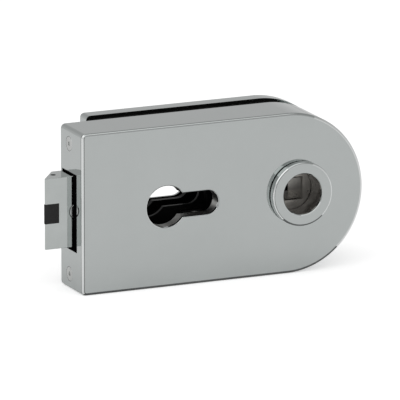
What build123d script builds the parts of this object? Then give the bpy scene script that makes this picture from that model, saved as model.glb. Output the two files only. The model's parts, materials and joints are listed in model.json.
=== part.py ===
"""Glass door patch lock with a sprung latch, a lever handle follower and a profile cylinder cut-out.

Frame, in millimetres: X runs along the lock with the latch at -X, the front faces -Y and Z is up.
The origin is on the handle axis in the plane of the case's front face.
"""
import math
import os

from build123d import *

# Lock case, in front of the glass
CASE_WIDTH = 134.0
CASE_HEIGHT = 72.0
CASE_DEPTH = 23.0
COVER_WALL = 1.5
CASE_WALL = 2.0
LID_THICKNESS = 1.6
EDGE_RADIUS = 1.2
CORNER_RADIUS = 2.0
SPINDLE_TO_ROUND_END = 30.5

# Glass and clamping side
GLASS_THICKNESS = 8.0
GASKET_THICKNESS = 0.8
GASKET_PROUD = 0.2
REAR_FROM_END = 15.6
REAR_DEPTH = 7.6
PLATE_THICKNESS = 2.5

# Profile cylinder cut-out: round part, web and far end of the web, as a 17 x 33 mm cylinder needs
CYLINDER_FROM_END = 40.0
CYLINDER_RADIUS = 9.3
WEB_HALF_WIDTH = 5.4
WEB_REACH = 24.7
CUTOUT_EDGE = 0.35
COLLAR_WALL = 1.5
COLLAR_LENGTH = 3.0
SPACER_WALL = 4.0

# Handle ring, bush and nut, the same on both sides
BORE_RADIUS = 9.2
BUSH_WALL = 1.3
NECK_WALL = 1.5
RING_RADIUS = 14.3
RING_HEIGHT = 3.8
RING_LIP = 1.5
RING_EDGE = 0.8
GROOVE_WIDTH = 0.4
GROOVE_DEPTH = 0.5
NUT_RADIUS = 16.0
NUT_THICKNESS = 1.8
NUT_FLATS = 28.0

# Follower
FOLLOWER_DEPTH = 8.0
SQUARE = 9.1
SQUARE_LEAD = 0.6
HUB_RADIUS = 13.0
JOURNAL_RADIUS = 11.0
ARM_LENGTH = 19.0
ARM_WIDTH = 8.0
ARM_PIN_RADIUS = 2.0
HALF_SWING = 20.0

# Plates of the mechanism and the bolt, by their front faces and thicknesses
LATCH_FRONT = 8.6
SHANK_FRONT = 9.0
SHANK_THICKNESS = 3.0
SLIDE_THICKNESS = 2.5
LEVER_THICKNESS = 2.5
LAYER_GAP = 0.4

# Latch bolt
LATCH_PROJECTION = 13.6
LATCH_INSIDE = 6.5
LATCH_BELOW_TOP = 20.15
LATCH_BEVEL = 7.85
LATCH_TIP_FLAT = 0.8
LATCH_EDGE = 0.3
INSERT_WIDTH = 6.5
INSERT_HEIGHT = 8.8
INSERT_PROUD = 0.3
TONGUE_LENGTH = 1.9
INSERT_TONGUE_THICKNESS = 5.2
INSERT_PIN_RADIUS = 1.2
INSERT_PIN_SUNK = 0.9
LATCH_SCREW_RADIUS = 3.5
LATCH_SCREW_HEAD = 2.0
LATCH_SCREW_SHANK = 2.0
LATCH_SCREW_INSIDE = 1.1
INSERT_PIN_FROM_TIP = 6.1
INSERT_PIN_DEPTH = 5.6
SHANK_TONGUE_REACH = 3.0
SHANK_TONGUE_HALF = 6.0
SHANK_PAD_HALF = 8.0
ROD_BOSS_RADIUS = 3.2

# Latch guide, the black frame round the bolt
GUIDE_LIP_FRONT = 2.45
GUIDE_LIP_BACK = 0.85
GUIDE_LIP_TOP = 0.6
GUIDE_LIP_BOTTOM = 2.0
GUIDE_LENGTH = 5.5
GUIDE_PROUD = 0.2

# Latch shank, the drive slide above it and their pin
BAR_HEIGHT = 6.5
SHANK_WEB = 5.0
BAR_TO_LATCH = 0.65
DRIVE_PIN_RADIUS = 1.5
DRIVE_PIN_FROM_END = 34.5
BAR_END_WALL = 2.3
SLIDE_END_WALL = 3.0
PRONG_WIDTH = 3.0
FORK_WALL = 1.85
HUB_GAP = 0.5
NOTCH_FROM_WEB = 0.8
NOTCH_SIDE_GAP = 0.9
NOTCH_DEPTH = 2.6

# Guide pins and rods
GUIDE_PIN_RADIUS = 1.5
SHOULDER_RADIUS = 2.4
DRIVE_PIN_TO_SLOT = 1.35
RIGHT_SLIDE_PIN_FROM_SPINDLE = 18.5
ROD_RADIUS = 1.5

# Springs
SPRING_RADIUS = 3.0
SPRING_WIRE = 0.45
SPRING_TURNS = 11
RETURN_SPRING_FROM_TOP = 8.5
TAB_FROM_END = 44.0
TAB_THICKNESS = 2.5
TAB_FROM_TOP = 5.0
RETURN_STOP_FROM_SPINDLE = 24.5
RETURN_STOP_HEIGHT = 8.1
LATCH_STOP_FROM_END = 48.0
STOP_THICKNESS = 4.0
ROD_OVERHANG = 3.5

# Deadlock lever, in front of the latch
DEADLOCK_PIVOT_FROM_END = 33.0
DEADLOCK_PIVOT_BELOW_BAR_TOP = 2.6
DEADLOCK_HUB_RADIUS = 3.2
DEADLOCK_BAR_WIDTH = 5.0
DEADLOCK_HEAD_LENGTH = 1.4
NOSE_WIDTH = 4.1
NOSE_HEIGHT = 2.4
NOSE_RISE = 0.3
LUG_FROM_PIVOT = 5.5
LUG_WIDTH = 3.5
LUG_HEIGHT = 3.0
LUG_CLEARANCE = 0.8

# Change lever
LEVER_PIVOT_FROM_CYLINDER = 32.0
LEVER_PIVOT_HEIGHT = -12.0
LEVER_PIVOT_RADIUS = 2.5
LEVER_HUB_RADIUS = 4.5
LEVER_HEAD_RADIUS = 3.0
LEVER_FOOT_X = 10.5
LEVER_FOOT_Z = 9.5
LEVER_FOOT_RADIUS = 2.0
LEVER_FOOT_ROOT = 0.75
PIVOT_BASE_RADIUS = 4.0

# Screws
SIDE_SCREW_FROM_TOP = 6.9
SIDE_SCREW_DEPTH = 14.0
SIDE_SCREW_RADIUS = 1.75
SIDE_SCREW_HEAD = 3.3
SIDE_SCREW_LENGTH = 10.0
SIDE_BOSS_LENGTH = 9.0
SIDE_BOSS_FROM_TOP = 12.2
LEFT_CLAMP_FROM_END = 24.0
RIGHT_CLAMP_FROM_SPINDLE = 16.5
CLAMP_SCREW_FROM_TOP = 8.5
CLAMP_SCREW_RADIUS = 2.5
CLAMP_SCREW_HEAD = 4.7
CLAMP_SCREW_DEPTH = 10.0
POST_RADIUS = 4.0
SLEEVE_RADIUS = 5.0
LID_SCREW_RADIUS = 1.25
LID_SCREW_HEAD = 2.5
LID_SCREW_LENGTH = 8.0
LID_BOSS_RADIUS = 3.0
LID_SCREW_FROM_END = 16.2
LID_SCREW_FROM_TOP = 6.1
LID_BOSS_BITE = 0.5
LID_SCREW_ANGLE = 35.0
REAR_SCREW_FROM_TOP = 16.0
REAR_SCREW_RADIUS = 1.25
REAR_SCREW_HEAD = 2.5
REAR_SCREW_LENGTH = 5.0
SCREW_LUG_LENGTH = 5.0
SCREW_LUG_HALF_HEIGHT = 4.0
CYLINDER_SCREW_FROM_CYLINDER = 20.0
CYLINDER_SCREW_RADIUS = 2.5
CYLINDER_SCREW_HEAD = 4.6
CYLINDER_SCREW_HEAD_LENGTH = 2.5
CYLINDER_SCREW_BACK = 1.0
CYLINDER_BOSS_TO_LID = 0.8
CYLINDER_BOSS_HALF = 5.0
SOCKET_SHARE = 0.62
SOCKET_DEPTH = 1.2

# Clearances
SEAT_GAP = 0.1
PIN_GAP = 0.02
RUNNING_GAP = 0.05
SLIDING_GAP = 0.15
END_GAP = 0.3
TINY = 0.001

# Travel of the latch and the drive slide
LATCH_TRAVEL = 2 * ARM_LENGTH * math.sin(math.radians(HALF_SWING))

# Places along X, measured from the handle axis
END_X = SPINDLE_TO_ROUND_END - CASE_WIDTH
ARC_RADIUS = CASE_HEIGHT / 2
ARC_X = SPINDLE_TO_ROUND_END - ARC_RADIUS
REAR_X = END_X + REAR_FROM_END
CYLINDER_X = END_X + CYLINDER_FROM_END
LATCH_TIP_X = END_X - LATCH_PROJECTION
LATCH_BACK_X = END_X + LATCH_INSIDE
LATCH_SCREW_X = END_X + LATCH_SCREW_INSIDE
DRIVE_PIN_X = END_X + DRIVE_PIN_FROM_END
DEADLOCK_X = END_X + DEADLOCK_PIVOT_FROM_END
TAB_X = END_X + TAB_FROM_END
LATCH_STOP_X = END_X + LATCH_STOP_FROM_END
LEVER_X = CYLINDER_X + LEVER_PIVOT_FROM_CYLINDER
CYLINDER_SCREW_X = CYLINDER_X + CYLINDER_SCREW_FROM_CYLINDER
CLAMP_X = (END_X + LEFT_CLAMP_FROM_END, -RIGHT_CLAMP_FROM_SPINDLE)
SLOT_START_X = DRIVE_PIN_X + DRIVE_PIN_RADIUS + DRIVE_PIN_TO_SLOT
LEFT_SLIDE_PIN_X = SLOT_START_X + GUIDE_PIN_RADIUS + SLIDING_GAP + LATCH_TRAVEL
SLIDE_PINS_X = (LEFT_SLIDE_PIN_X, -RIGHT_SLIDE_PIN_FROM_SPINDLE)
RETURN_STOP_X = -RETURN_STOP_FROM_SPINDLE

# Depths along Y, from the front face to the back
FLOOR_BACK = COVER_WALL + CASE_WALL
FRONT_GASKET_BACK = CASE_DEPTH + GASKET_PROUD
LID_BACK = FRONT_GASKET_BACK - GASKET_THICKNESS
LID_FRONT = LID_BACK - LID_THICKNESS
GLASS_BACK = FRONT_GASKET_BACK + GLASS_THICKNESS
REAR_RIM = GLASS_BACK + GASKET_PROUD
REAR_FACE = REAR_RIM + REAR_DEPTH
PLATE_FRONT = GLASS_BACK + GASKET_THICKNESS
PLATE_BACK = PLATE_FRONT + PLATE_THICKNESS
LATCH_BACK = LID_FRONT - LAYER_GAP
SHANK_BACK = SHANK_FRONT + SHANK_THICKNESS
SHANK_MIDDLE = (SHANK_FRONT + SHANK_BACK) / 2
SLIDE_FRONT = SHANK_BACK + LAYER_GAP
SLIDE_BACK = SLIDE_FRONT + SLIDE_THICKNESS
SLIDE_MIDDLE = (SLIDE_FRONT + SLIDE_BACK) / 2
LEVER_FRONT = SLIDE_BACK + LAYER_GAP
LEVER_BACK = LEVER_FRONT + LEVER_THICKNESS
DEADLOCK_FRONT = FLOOR_BACK + LAYER_GAP
DEADLOCK_BACK = DEADLOCK_FRONT + LEVER_THICKNESS
NUT_BACK = FLOOR_BACK + NUT_THICKNESS
HUB_BACK = LID_FRONT - END_GAP
CYLINDER_SCREW_DEPTH = LID_FRONT - CYLINDER_BOSS_TO_LID - CYLINDER_BOSS_HALF
REAR_INNER_FACE = REAR_FACE - COVER_WALL
REAR_SCREW_DEPTH = (PLATE_BACK + REAR_INNER_FACE) / 2
REAR_NECK = REAR_FACE - PLATE_FRONT

# Heights along Z, from the middle of the lock
LATCH_HALF_HEIGHT = ARC_RADIUS - LATCH_BELOW_TOP
BAR_BOTTOM = LATCH_HALF_HEIGHT + BAR_TO_LATCH
BAR_TOP = BAR_BOTTOM + BAR_HEIGHT
BAR_MIDDLE = (BAR_BOTTOM + BAR_TOP) / 2
LATCH_SPRING_HEIGHT = -BAR_MIDDLE
RETURN_SPRING_HEIGHT = ARC_RADIUS - RETURN_SPRING_FROM_TOP
DEADLOCK_PIVOT_HEIGHT = BAR_TOP - DEADLOCK_PIVOT_BELOW_BAR_TOP
CYLINDER_BOSS_TOP = -WEB_HALF_WIDTH - CYLINDER_SCREW_RADIUS
SIDE_SCREW_HEIGHT = ARC_RADIUS - SIDE_SCREW_FROM_TOP
CLAMP_SCREW_HEIGHT = ARC_RADIUS - CLAMP_SCREW_FROM_TOP
LID_SCREW_HEIGHT = ARC_RADIUS - LID_SCREW_FROM_TOP
REAR_SCREW_HEIGHT = ARC_RADIUS - REAR_SCREW_FROM_TOP

# Sizes that follow from the ones above
BUSH_RADIUS = BORE_RADIUS + BUSH_WALL
NECK_RADIUS = BUSH_RADIUS + NECK_WALL
INNER_INSET = COVER_WALL + SEAT_GAP
CAVITY_INSET = INNER_INSET + CASE_WALL
CAVITY_TOP = ARC_RADIUS - CAVITY_INSET
ARM_PIN_X = -ARM_LENGTH * math.sin(math.radians(HALF_SWING))
ARM_PIN_Z = ARM_LENGTH * math.cos(math.radians(HALF_SWING))
LEVER_REACH = BAR_MIDDLE - LEVER_PIVOT_HEIGHT
LEVER_HALF_SWING = math.degrees(math.asin(LATCH_TRAVEL / 2 / LEVER_REACH))
LEVER_TOP_X = LEVER_X - LATCH_TRAVEL / 2
LEVER_TOP_Z = LEVER_PIVOT_HEIGHT + LEVER_REACH * math.cos(math.radians(LEVER_HALF_SWING))
NOTCH_X = LATCH_BACK_X + SHANK_WEB + NOTCH_FROM_WEB
NOSE_X = NOTCH_X + NOTCH_SIDE_GAP
NOSE_DROP = NOTCH_DEPTH + NOSE_RISE - END_GAP
DEADLOCK_SWING = math.degrees(math.asin(NOSE_DROP / (DEADLOCK_X - NOSE_X)))


def slab(outline, front, back):
    """Extrude an outline drawn in X and Z from depth front to depth back."""
    return extrude(Plane.XZ.offset(-back) * outline, amount=back - front)


def cutout_edges(cover, face):
    """Return the edges of the cylinder cut-out in a cover's face."""
    edges = cover.edges().filter_by_position(Axis.Y, face - TINY, face + TINY)
    left = CYLINDER_X - CYLINDER_RADIUS
    edges = edges.filter_by_position(Axis.X, left - TINY, CYLINDER_X + WEB_REACH + TINY)
    return edges.filter_by_position(Axis.Z, -CYLINDER_RADIUS - TINY, CYLINDER_RADIUS + TINY)


def rod_y(x, z, radius, front, back):
    """Return a round bar along Y."""
    return slab(Pos(x, z) * Circle(radius), front, back)


def rod_x(y, z, radius, start, end):
    """Return a round bar along X."""
    return extrude(Plane.YZ.offset(start) * Pos(y, z) * Circle(radius), amount=end - start)


def rod_z(x, y, radius, start, end):
    """Return a round bar along Z."""
    return extrude(Plane.XY.offset(start) * Pos(x, y) * Circle(radius), amount=end - start)


def block(x_span, y_span, z_span):
    """Return a box between the given lower and upper coordinates."""
    spans = (x_span, y_span, z_span)
    sizes = [span[1] - span[0] for span in spans]
    middle = [(span[0] + span[1]) / 2 for span in spans]
    return Pos(*middle) * Box(*sizes)


def bar_outline(start, end, radius_start, radius_end):
    """Return the outline of a link: two round ends joined by their tangents."""
    ends = Pos(*start) * Circle(radius_start) + Pos(*end) * Circle(radius_end)
    return make_hull(ends.edges())


def travel_slot(x, z, radius):
    """Return the slot in which a pin at the given place moves by the latch's travel."""
    return bar_outline((x - LATCH_TRAVEL, z), (x, z), radius, radius)


def window(x_span, z_span):
    """Return a plain rectangle drawn in X and Z."""
    width = x_span[1] - x_span[0]
    height = z_span[1] - z_span[0]
    return Pos(sum(x_span) / 2, sum(z_span) / 2) * Rectangle(width, height)


def case_outline(left, inset=0.0, corner=0.0):
    """Return the D outline of the lock from the given left edge, drawn in by inset."""
    radius = ARC_RADIUS - inset
    outline = window((left, ARC_X), (-radius, radius)) + Pos(ARC_X, 0) * Circle(radius)
    if corner > 0:
        outline = fillet(outline.vertices().sort_by(Axis.X)[:2], corner)
    return outline


def cylinder_outline(grow=0.0):
    """Return the outline of the profile cylinder cut-out, grown all round."""
    half = WEB_HALF_WIDTH + grow
    web_end = CYLINDER_X + WEB_REACH - WEB_HALF_WIDTH
    web = window((CYLINDER_X, web_end), (-half, half)) + Pos(web_end, 0) * Circle(half)
    return Pos(CYLINDER_X, 0) * Circle(CYLINDER_RADIUS + grow) + web


def shell(left, front, rim, wall):
    """Return a D-shaped cover with a closed face at front and an open rim."""
    toward_rim = 1 if rim > front else -1
    outer = slab(case_outline(left, corner=CORNER_RADIUS), min(front, rim), max(front, rim))
    outer = fillet(outer.edges().filter_by_position(Axis.Y, front - TINY, front + TINY), EDGE_RADIUS)
    inner_face = front + toward_rim * wall
    corner = CORNER_RADIUS - wall
    inner = case_outline(left + wall, wall, corner)
    return outer - slab(inner, min(inner_face, rim), max(inner_face, rim))


def countersink_y(x, z, radius, head_radius, face, toward_tip):
    """Return the cone of a flat screw head along Y that is flush at face."""
    neck = face + toward_tip * (head_radius - radius)
    return loft([Plane.XZ.offset(-face) * Pos(x, z) * Circle(head_radius),
                 Plane.XZ.offset(-neck) * Pos(x, z) * Circle(radius)])


def countersink_x(y, z, radius, head_radius, face):
    """Return the cone of a flat screw head along +X that is flush at face."""
    neck = face + head_radius - radius
    return loft([Plane.YZ.offset(face) * Pos(y, z) * Circle(head_radius),
                 Plane.YZ.offset(neck) * Pos(y, z) * Circle(radius)])


def countersunk_y(x, z, radius, head_radius, face, end):
    """Return a flat-headed screw towards -Y whose head is flush at face and whose tip is at end."""
    screw = countersink_y(x, z, radius, head_radius, face, -1) + rod_y(x, z, radius, end, face)
    hexagon = Pos(x, z) * RegularPolygon(radius * SOCKET_SHARE, 6)
    return screw - slab(hexagon, face - SOCKET_DEPTH, face)


def countersunk_x(z, size, face):
    """Return a flat-headed screw along +X, flush at face, from its depth, radii and length."""
    y, radius, head_radius, length = size
    screw = countersink_x(y, z, radius, head_radius, face) + rod_x(y, z, radius, face, face + length)
    hexagon = Plane.YZ.offset(face) * Pos(y, z) * RegularPolygon(radius * SOCKET_SHARE, 6)
    return screw - extrude(hexagon, amount=SOCKET_DEPTH)


def mirrored(values):
    """Return each value with both signs."""
    return [sign * value for value in values for sign in (1, -1)]


def clamp_places():
    """Return the X and Z of the screws that clamp the glass."""
    return [(x, z) for x in CLAMP_X for z in mirrored([CLAMP_SCREW_HEIGHT])]


def lid_screw_places():
    """Return the X and Z of the lid's screws: two near the latch, two on the round end."""
    turn = math.radians(LID_SCREW_ANGLE)
    reach = CAVITY_TOP - LID_BOSS_RADIUS + LID_BOSS_BITE
    left = [(END_X + LID_SCREW_FROM_END, z) for z in mirrored([LID_SCREW_HEIGHT])]
    right = [(ARC_X + reach * math.cos(turn), z) for z in mirrored([reach * math.sin(turn)])]
    return left + right


def guide_box(grow=0.0):
    """Return the outer block of the latch guide, grown in Y and Z."""
    gap = SLIDING_GAP + grow
    y_span = (LATCH_FRONT - gap - GUIDE_LIP_FRONT, LATCH_BACK + gap + GUIDE_LIP_BACK)
    z_span = (-LATCH_HALF_HEIGHT - gap - GUIDE_LIP_BOTTOM, LATCH_HALF_HEIGHT + gap + GUIDE_LIP_TOP)
    return block((END_X - GUIDE_PROUD, END_X + GUIDE_LENGTH), y_span, z_span)


def latch_outline(proud=0.0):
    """Return the bolt's outline in X and Y, with its bevel grown outwards by proud."""
    tip = LATCH_TIP_X - proud
    with BuildSketch() as profile:
        with BuildLine():
            Polyline((tip, LATCH_FRONT), (LATCH_BACK_X, LATCH_FRONT), (LATCH_BACK_X, LATCH_BACK),
                     (tip + LATCH_BEVEL, LATCH_BACK), (tip, LATCH_FRONT + LATCH_TIP_FLAT), close=True)
        make_face()
    return profile.sketch


# Covers and case

def make_front_cover():
    """Return the polished shell in front of the glass."""
    cover = shell(END_X, 0.0, CASE_DEPTH, COVER_WALL)
    cover -= slab(cylinder_outline(), 0.0, COVER_WALL)
    cover -= rod_y(0, 0, NECK_RADIUS + RUNNING_GAP, 0.0, COVER_WALL)
    cover -= guide_box(SEAT_GAP)
    cover = fillet(cutout_edges(cover, 0.0), CUTOUT_EDGE)
    for z in mirrored([SIDE_SCREW_HEIGHT]):
        cover -= countersink_x(SIDE_SCREW_DEPTH, z, SIDE_SCREW_RADIUS, SIDE_SCREW_HEAD, END_X)
    bottom = -ARC_RADIUS
    return cover - cylinder_screw_rod(CYLINDER_SCREW_HEAD + SEAT_GAP, bottom, bottom + COVER_WALL)


def make_lock_case():
    """Return the tray that carries the mechanism, with its posts, bosses and stops."""
    case = slab(inner_outline(END_X), COVER_WALL, LID_FRONT)
    case -= slab(case_outline(END_X + CAVITY_INSET, CAVITY_INSET), FLOOR_BACK, LID_FRONT)
    wall_x = END_X + CAVITY_INSET
    for z in mirrored([1]):
        span = sorted((z * (ARC_RADIUS - SIDE_BOSS_FROM_TOP), z * CAVITY_TOP))
        case += block((wall_x, wall_x + SIDE_BOSS_LENGTH), (FLOOR_BACK, LID_FRONT), span)
    for x, z in clamp_places():
        case += rod_y(x, z, POST_RADIUS, FLOOR_BACK, LID_FRONT)
    for x, z in lid_screw_places():
        case += rod_y(x, z, LID_BOSS_RADIUS, FLOOR_BACK, LID_FRONT)
    case += slab(cylinder_outline(COLLAR_WALL), FLOOR_BACK, FLOOR_BACK + COLLAR_LENGTH)
    case += return_stop() + latch_stop() + cylinder_screw_boss()
    case -= slab(cylinder_outline(), COVER_WALL, FLOOR_BACK + COLLAR_LENGTH)
    case -= rod_y(0, 0, NECK_RADIUS + RUNNING_GAP, COVER_WALL, FLOOR_BACK)
    case -= guide_box(SEAT_GAP)
    for z in mirrored([SIDE_SCREW_HEIGHT]):
        case -= countersink_x(SIDE_SCREW_DEPTH, z, SIDE_SCREW_RADIUS, SIDE_SCREW_HEAD, END_X)
        end = END_X + SIDE_SCREW_LENGTH
        case -= rod_x(SIDE_SCREW_DEPTH, z, SIDE_SCREW_RADIUS + PIN_GAP, END_X, end)
    for x, z in clamp_places():
        case -= rod_y(x, z, CLAMP_SCREW_RADIUS + PIN_GAP, LID_FRONT - CLAMP_SCREW_DEPTH, LID_FRONT)
    for x, z in lid_screw_places():
        case -= rod_y(x, z, LID_SCREW_RADIUS + PIN_GAP, LID_BACK - LID_SCREW_LENGTH, LID_FRONT)
    floor = -ARC_RADIUS + INNER_INSET
    case -= cylinder_screw_rod(CYLINDER_SCREW_HEAD + SEAT_GAP, floor, floor + CYLINDER_SCREW_HEAD_LENGTH)
    case -= cylinder_screw_rod(CYLINDER_SCREW_RADIUS + PIN_GAP, floor, CYLINDER_BOSS_TOP)
    case -= rod_y(LEVER_X, LEVER_PIVOT_HEIGHT, LEVER_PIVOT_RADIUS + PIN_GAP, COVER_WALL, FLOOR_BACK)
    pin_hole = Pos(DEADLOCK_X, DEADLOCK_PIVOT_HEIGHT) * Circle(GUIDE_PIN_RADIUS + PIN_GAP)
    return case - slab(pin_hole, COVER_WALL, FLOOR_BACK)


def return_stop():
    """Return the case's block that carries the return spring and its rod."""
    x_span = (RETURN_STOP_X, CLAMP_X[1])
    y_span = (FLOOR_BACK, SLIDE_BACK + SPRING_RADIUS)
    solid = block(x_span, y_span, (CAVITY_TOP - RETURN_STOP_HEIGHT, CAVITY_TOP))
    end = RETURN_STOP_X + STOP_THICKNESS
    return solid - rod_x(SLIDE_MIDDLE, RETURN_SPRING_HEIGHT, ROD_RADIUS + PIN_GAP, RETURN_STOP_X, end)


def latch_stop():
    """Return the case's block that carries the latch spring and its rod."""
    x_span = (LATCH_STOP_X, LATCH_STOP_X + STOP_THICKNESS)
    top = LATCH_SPRING_HEIGHT + SPRING_RADIUS + SPRING_WIRE
    solid = block(x_span, (FLOOR_BACK, SLIDE_BACK), (-CAVITY_TOP, top))
    return solid - rod_x(SHANK_MIDDLE, LATCH_SPRING_HEIGHT, ROD_RADIUS + PIN_GAP, *x_span)


def cylinder_screw_boss():
    """Return the case's boss for the screw that fixes the profile cylinder."""
    x_span = (CYLINDER_SCREW_X - CYLINDER_BOSS_HALF, CYLINDER_SCREW_X + CYLINDER_BOSS_HALF)
    y_span = (FLOOR_BACK, CYLINDER_SCREW_DEPTH + CYLINDER_BOSS_HALF)
    return block(x_span, y_span, (-CAVITY_TOP, CYLINDER_BOSS_TOP))


def cylinder_screw_rod(radius, start, end):
    """Return a round bar along Z on the axis of the cylinder screw."""
    return rod_z(CYLINDER_SCREW_X, CYLINDER_SCREW_DEPTH, radius, start, end)


def make_cylinder_screw():
    """Return the screw under the case, turned back so that a cylinder can go in."""
    bottom = -ARC_RADIUS + COVER_WALL
    head_top = -ARC_RADIUS + INNER_INSET + CYLINDER_SCREW_HEAD_LENGTH
    screw = cylinder_screw_rod(CYLINDER_SCREW_HEAD, bottom, head_top)
    screw += cylinder_screw_rod(CYLINDER_SCREW_RADIUS, head_top, CYLINDER_BOSS_TOP - CYLINDER_SCREW_BACK)
    socket = RegularPolygon(CYLINDER_SCREW_HEAD * SOCKET_SHARE, 6)
    recess = Plane.XY.offset(bottom) * Pos(CYLINDER_SCREW_X, CYLINDER_SCREW_DEPTH) * socket
    return screw - extrude(recess, amount=SOCKET_DEPTH)


def make_case_lid():
    """Return the plate that closes the case's back."""
    outline = inner_outline(END_X) - cylinder_outline() - Circle(JOURNAL_RADIUS + RUNNING_GAP)
    for x, z in clamp_places():
        outline -= Pos(x, z) * Circle(CLAMP_SCREW_RADIUS + SEAT_GAP)
    for x, z in lid_screw_places():
        outline -= Pos(x, z) * Circle(LID_SCREW_RADIUS + SEAT_GAP)
    for x in SLIDE_PINS_X:
        outline -= Pos(x, BAR_MIDDLE) * Circle(GUIDE_PIN_RADIUS + PIN_GAP)
    outline -= Pos(LEVER_X, LEVER_PIVOT_HEIGHT) * Circle(LEVER_PIVOT_RADIUS + PIN_GAP)
    lid = slab(outline, LID_FRONT, LID_BACK) - guide_box(SEAT_GAP)
    for x, z in lid_screw_places():
        lid -= countersink_y(x, z, LID_SCREW_RADIUS, LID_SCREW_HEAD, LID_BACK, -1)
    return lid


def make_lid_screws():
    """Return the lid's screws, flush with its back."""
    end = LID_BACK - LID_SCREW_LENGTH
    return [countersunk_y(x, z, LID_SCREW_RADIUS, LID_SCREW_HEAD, LID_BACK, end)
            for x, z in lid_screw_places()]


def make_side_screws():
    """Return the two screws in the latch end."""
    size = (SIDE_SCREW_DEPTH, SIDE_SCREW_RADIUS, SIDE_SCREW_HEAD, SIDE_SCREW_LENGTH)
    return [countersunk_x(z, size, END_X) for z in mirrored([SIDE_SCREW_HEIGHT])]


def make_latch_guide():
    """Return the black frame in which the bolt slides."""
    y_span = (LATCH_FRONT - SLIDING_GAP, LATCH_BACK + SLIDING_GAP)
    half = LATCH_HALF_HEIGHT + SLIDING_GAP
    return guide_box() - block((END_X - 1, END_X + GUIDE_LENGTH), y_span, (-half, half))


# Handle rings, bushes and nuts

def handle_ring(neck_length):
    """Return a ring whose flange stands on a face at Y = 0, with its neck behind the face."""
    ring = rod_y(0, 0, RING_RADIUS, -RING_HEIGHT, -GROOVE_WIDTH)
    ring = fillet(ring.edges().sort_by(Axis.Y)[0], RING_EDGE)
    ring += rod_y(0, 0, RING_RADIUS - GROOVE_DEPTH, -GROOVE_WIDTH, 0)
    ring += rod_y(0, 0, NECK_RADIUS, 0, neck_length)
    ring -= rod_y(0, 0, BUSH_RADIUS, RING_LIP - RING_HEIGHT, neck_length)
    ring -= rod_y(0, 0, BORE_RADIUS, -RING_HEIGHT, neck_length)
    return ring


def handle_bush(length):
    """Return the bush that runs from the ring's lip to the given depth behind the face."""
    outer = rod_y(0, 0, BUSH_RADIUS, RING_LIP - RING_HEIGHT, length)
    return outer - rod_y(0, 0, BORE_RADIUS, RING_LIP - RING_HEIGHT, length)


def ring_nut(front):
    """Return the thin nut of a handle ring, with two flats for a spanner."""
    outline = Circle(NUT_RADIUS) & Rectangle(NUT_FLATS, 2 * NUT_RADIUS)
    return slab(outline - Circle(NECK_RADIUS + PIN_GAP), front, front + NUT_THICKNESS)


def on_the_back(piece):
    """Turn a piece made for the front face over, onto the rear cover's face."""
    return Pos(0, REAR_FACE, 0) * mirror(piece, about=Plane.XZ)


# Clamping side

def inner_outline(left):
    """Return the outline of what fits inside a cover that starts at left."""
    return case_outline(left + INNER_INSET, INNER_INSET, CORNER_RADIUS - COVER_WALL)


def gasket(front):
    """Return a glass liner with the holes for the two spacers and the clamp sleeves."""
    outline = inner_outline(REAR_X) - cylinder_outline(SPACER_WALL + SEAT_GAP)
    outline -= Circle(JOURNAL_RADIUS + SPACER_WALL + SEAT_GAP)
    for x, z in clamp_places():
        outline -= Pos(x, z) * Circle(SLEEVE_RADIUS + SEAT_GAP)
    return slab(outline, front, front + GASKET_THICKNESS)


def make_rear_plate():
    """Return the plate that clamps the glass from behind."""
    plate = slab(inner_outline(REAR_X), PLATE_FRONT, PLATE_BACK)
    lug_x = (REAR_X + INNER_INSET, REAR_X + INNER_INSET + SCREW_LUG_LENGTH)
    lug_y = (PLATE_BACK, REAR_FACE - COVER_WALL)
    end = REAR_X + REAR_SCREW_LENGTH
    for z in mirrored([REAR_SCREW_HEIGHT]):
        plate += block(lug_x, lug_y, (z - SCREW_LUG_HALF_HEIGHT, z + SCREW_LUG_HALF_HEIGHT))
        plate -= rod_x(REAR_SCREW_DEPTH, z, REAR_SCREW_RADIUS + PIN_GAP, REAR_X, end)
    plate -= slab(cylinder_outline(), PLATE_FRONT, PLATE_BACK)
    plate -= rod_y(0, 0, NECK_RADIUS + RUNNING_GAP, PLATE_FRONT, PLATE_BACK)
    for x, z in clamp_places():
        plate -= rod_y(x, z, CLAMP_SCREW_RADIUS + SEAT_GAP, PLATE_FRONT, PLATE_BACK)
        plate -= countersink_y(x, z, CLAMP_SCREW_RADIUS, CLAMP_SCREW_HEAD, PLATE_BACK, -1)
    return plate


def make_rear_cover():
    """Return the polished shell behind the glass."""
    inner = REAR_FACE - COVER_WALL
    cover = shell(REAR_X, REAR_FACE, REAR_RIM, COVER_WALL)
    cover -= slab(cylinder_outline(), inner, REAR_FACE)
    cover -= rod_y(0, 0, NECK_RADIUS + RUNNING_GAP, inner, REAR_FACE)
    cover = fillet(cutout_edges(cover, REAR_FACE), CUTOUT_EDGE)
    for z in mirrored([REAR_SCREW_HEIGHT]):
        cover -= rod_x(REAR_SCREW_DEPTH, z, REAR_SCREW_RADIUS + SEAT_GAP, REAR_X, REAR_X + COVER_WALL)
        cover -= countersink_x(REAR_SCREW_DEPTH, z, REAR_SCREW_RADIUS, REAR_SCREW_HEAD, REAR_X)
    return cover


def make_rear_cover_screws():
    """Return the screws that hold the rear cover to its plate."""
    size = (REAR_SCREW_DEPTH, REAR_SCREW_RADIUS, REAR_SCREW_HEAD, REAR_SCREW_LENGTH)
    return [countersunk_x(z, size, REAR_X) for z in mirrored([REAR_SCREW_HEIGHT])]


def make_clamp_screws():
    """Return the screws that clamp the glass, from the rear plate into the case's posts."""
    end = LID_FRONT - CLAMP_SCREW_DEPTH
    return [countersunk_y(x, z, CLAMP_SCREW_RADIUS, CLAMP_SCREW_HEAD, PLATE_BACK, end)
            for x, z in clamp_places()]


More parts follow.
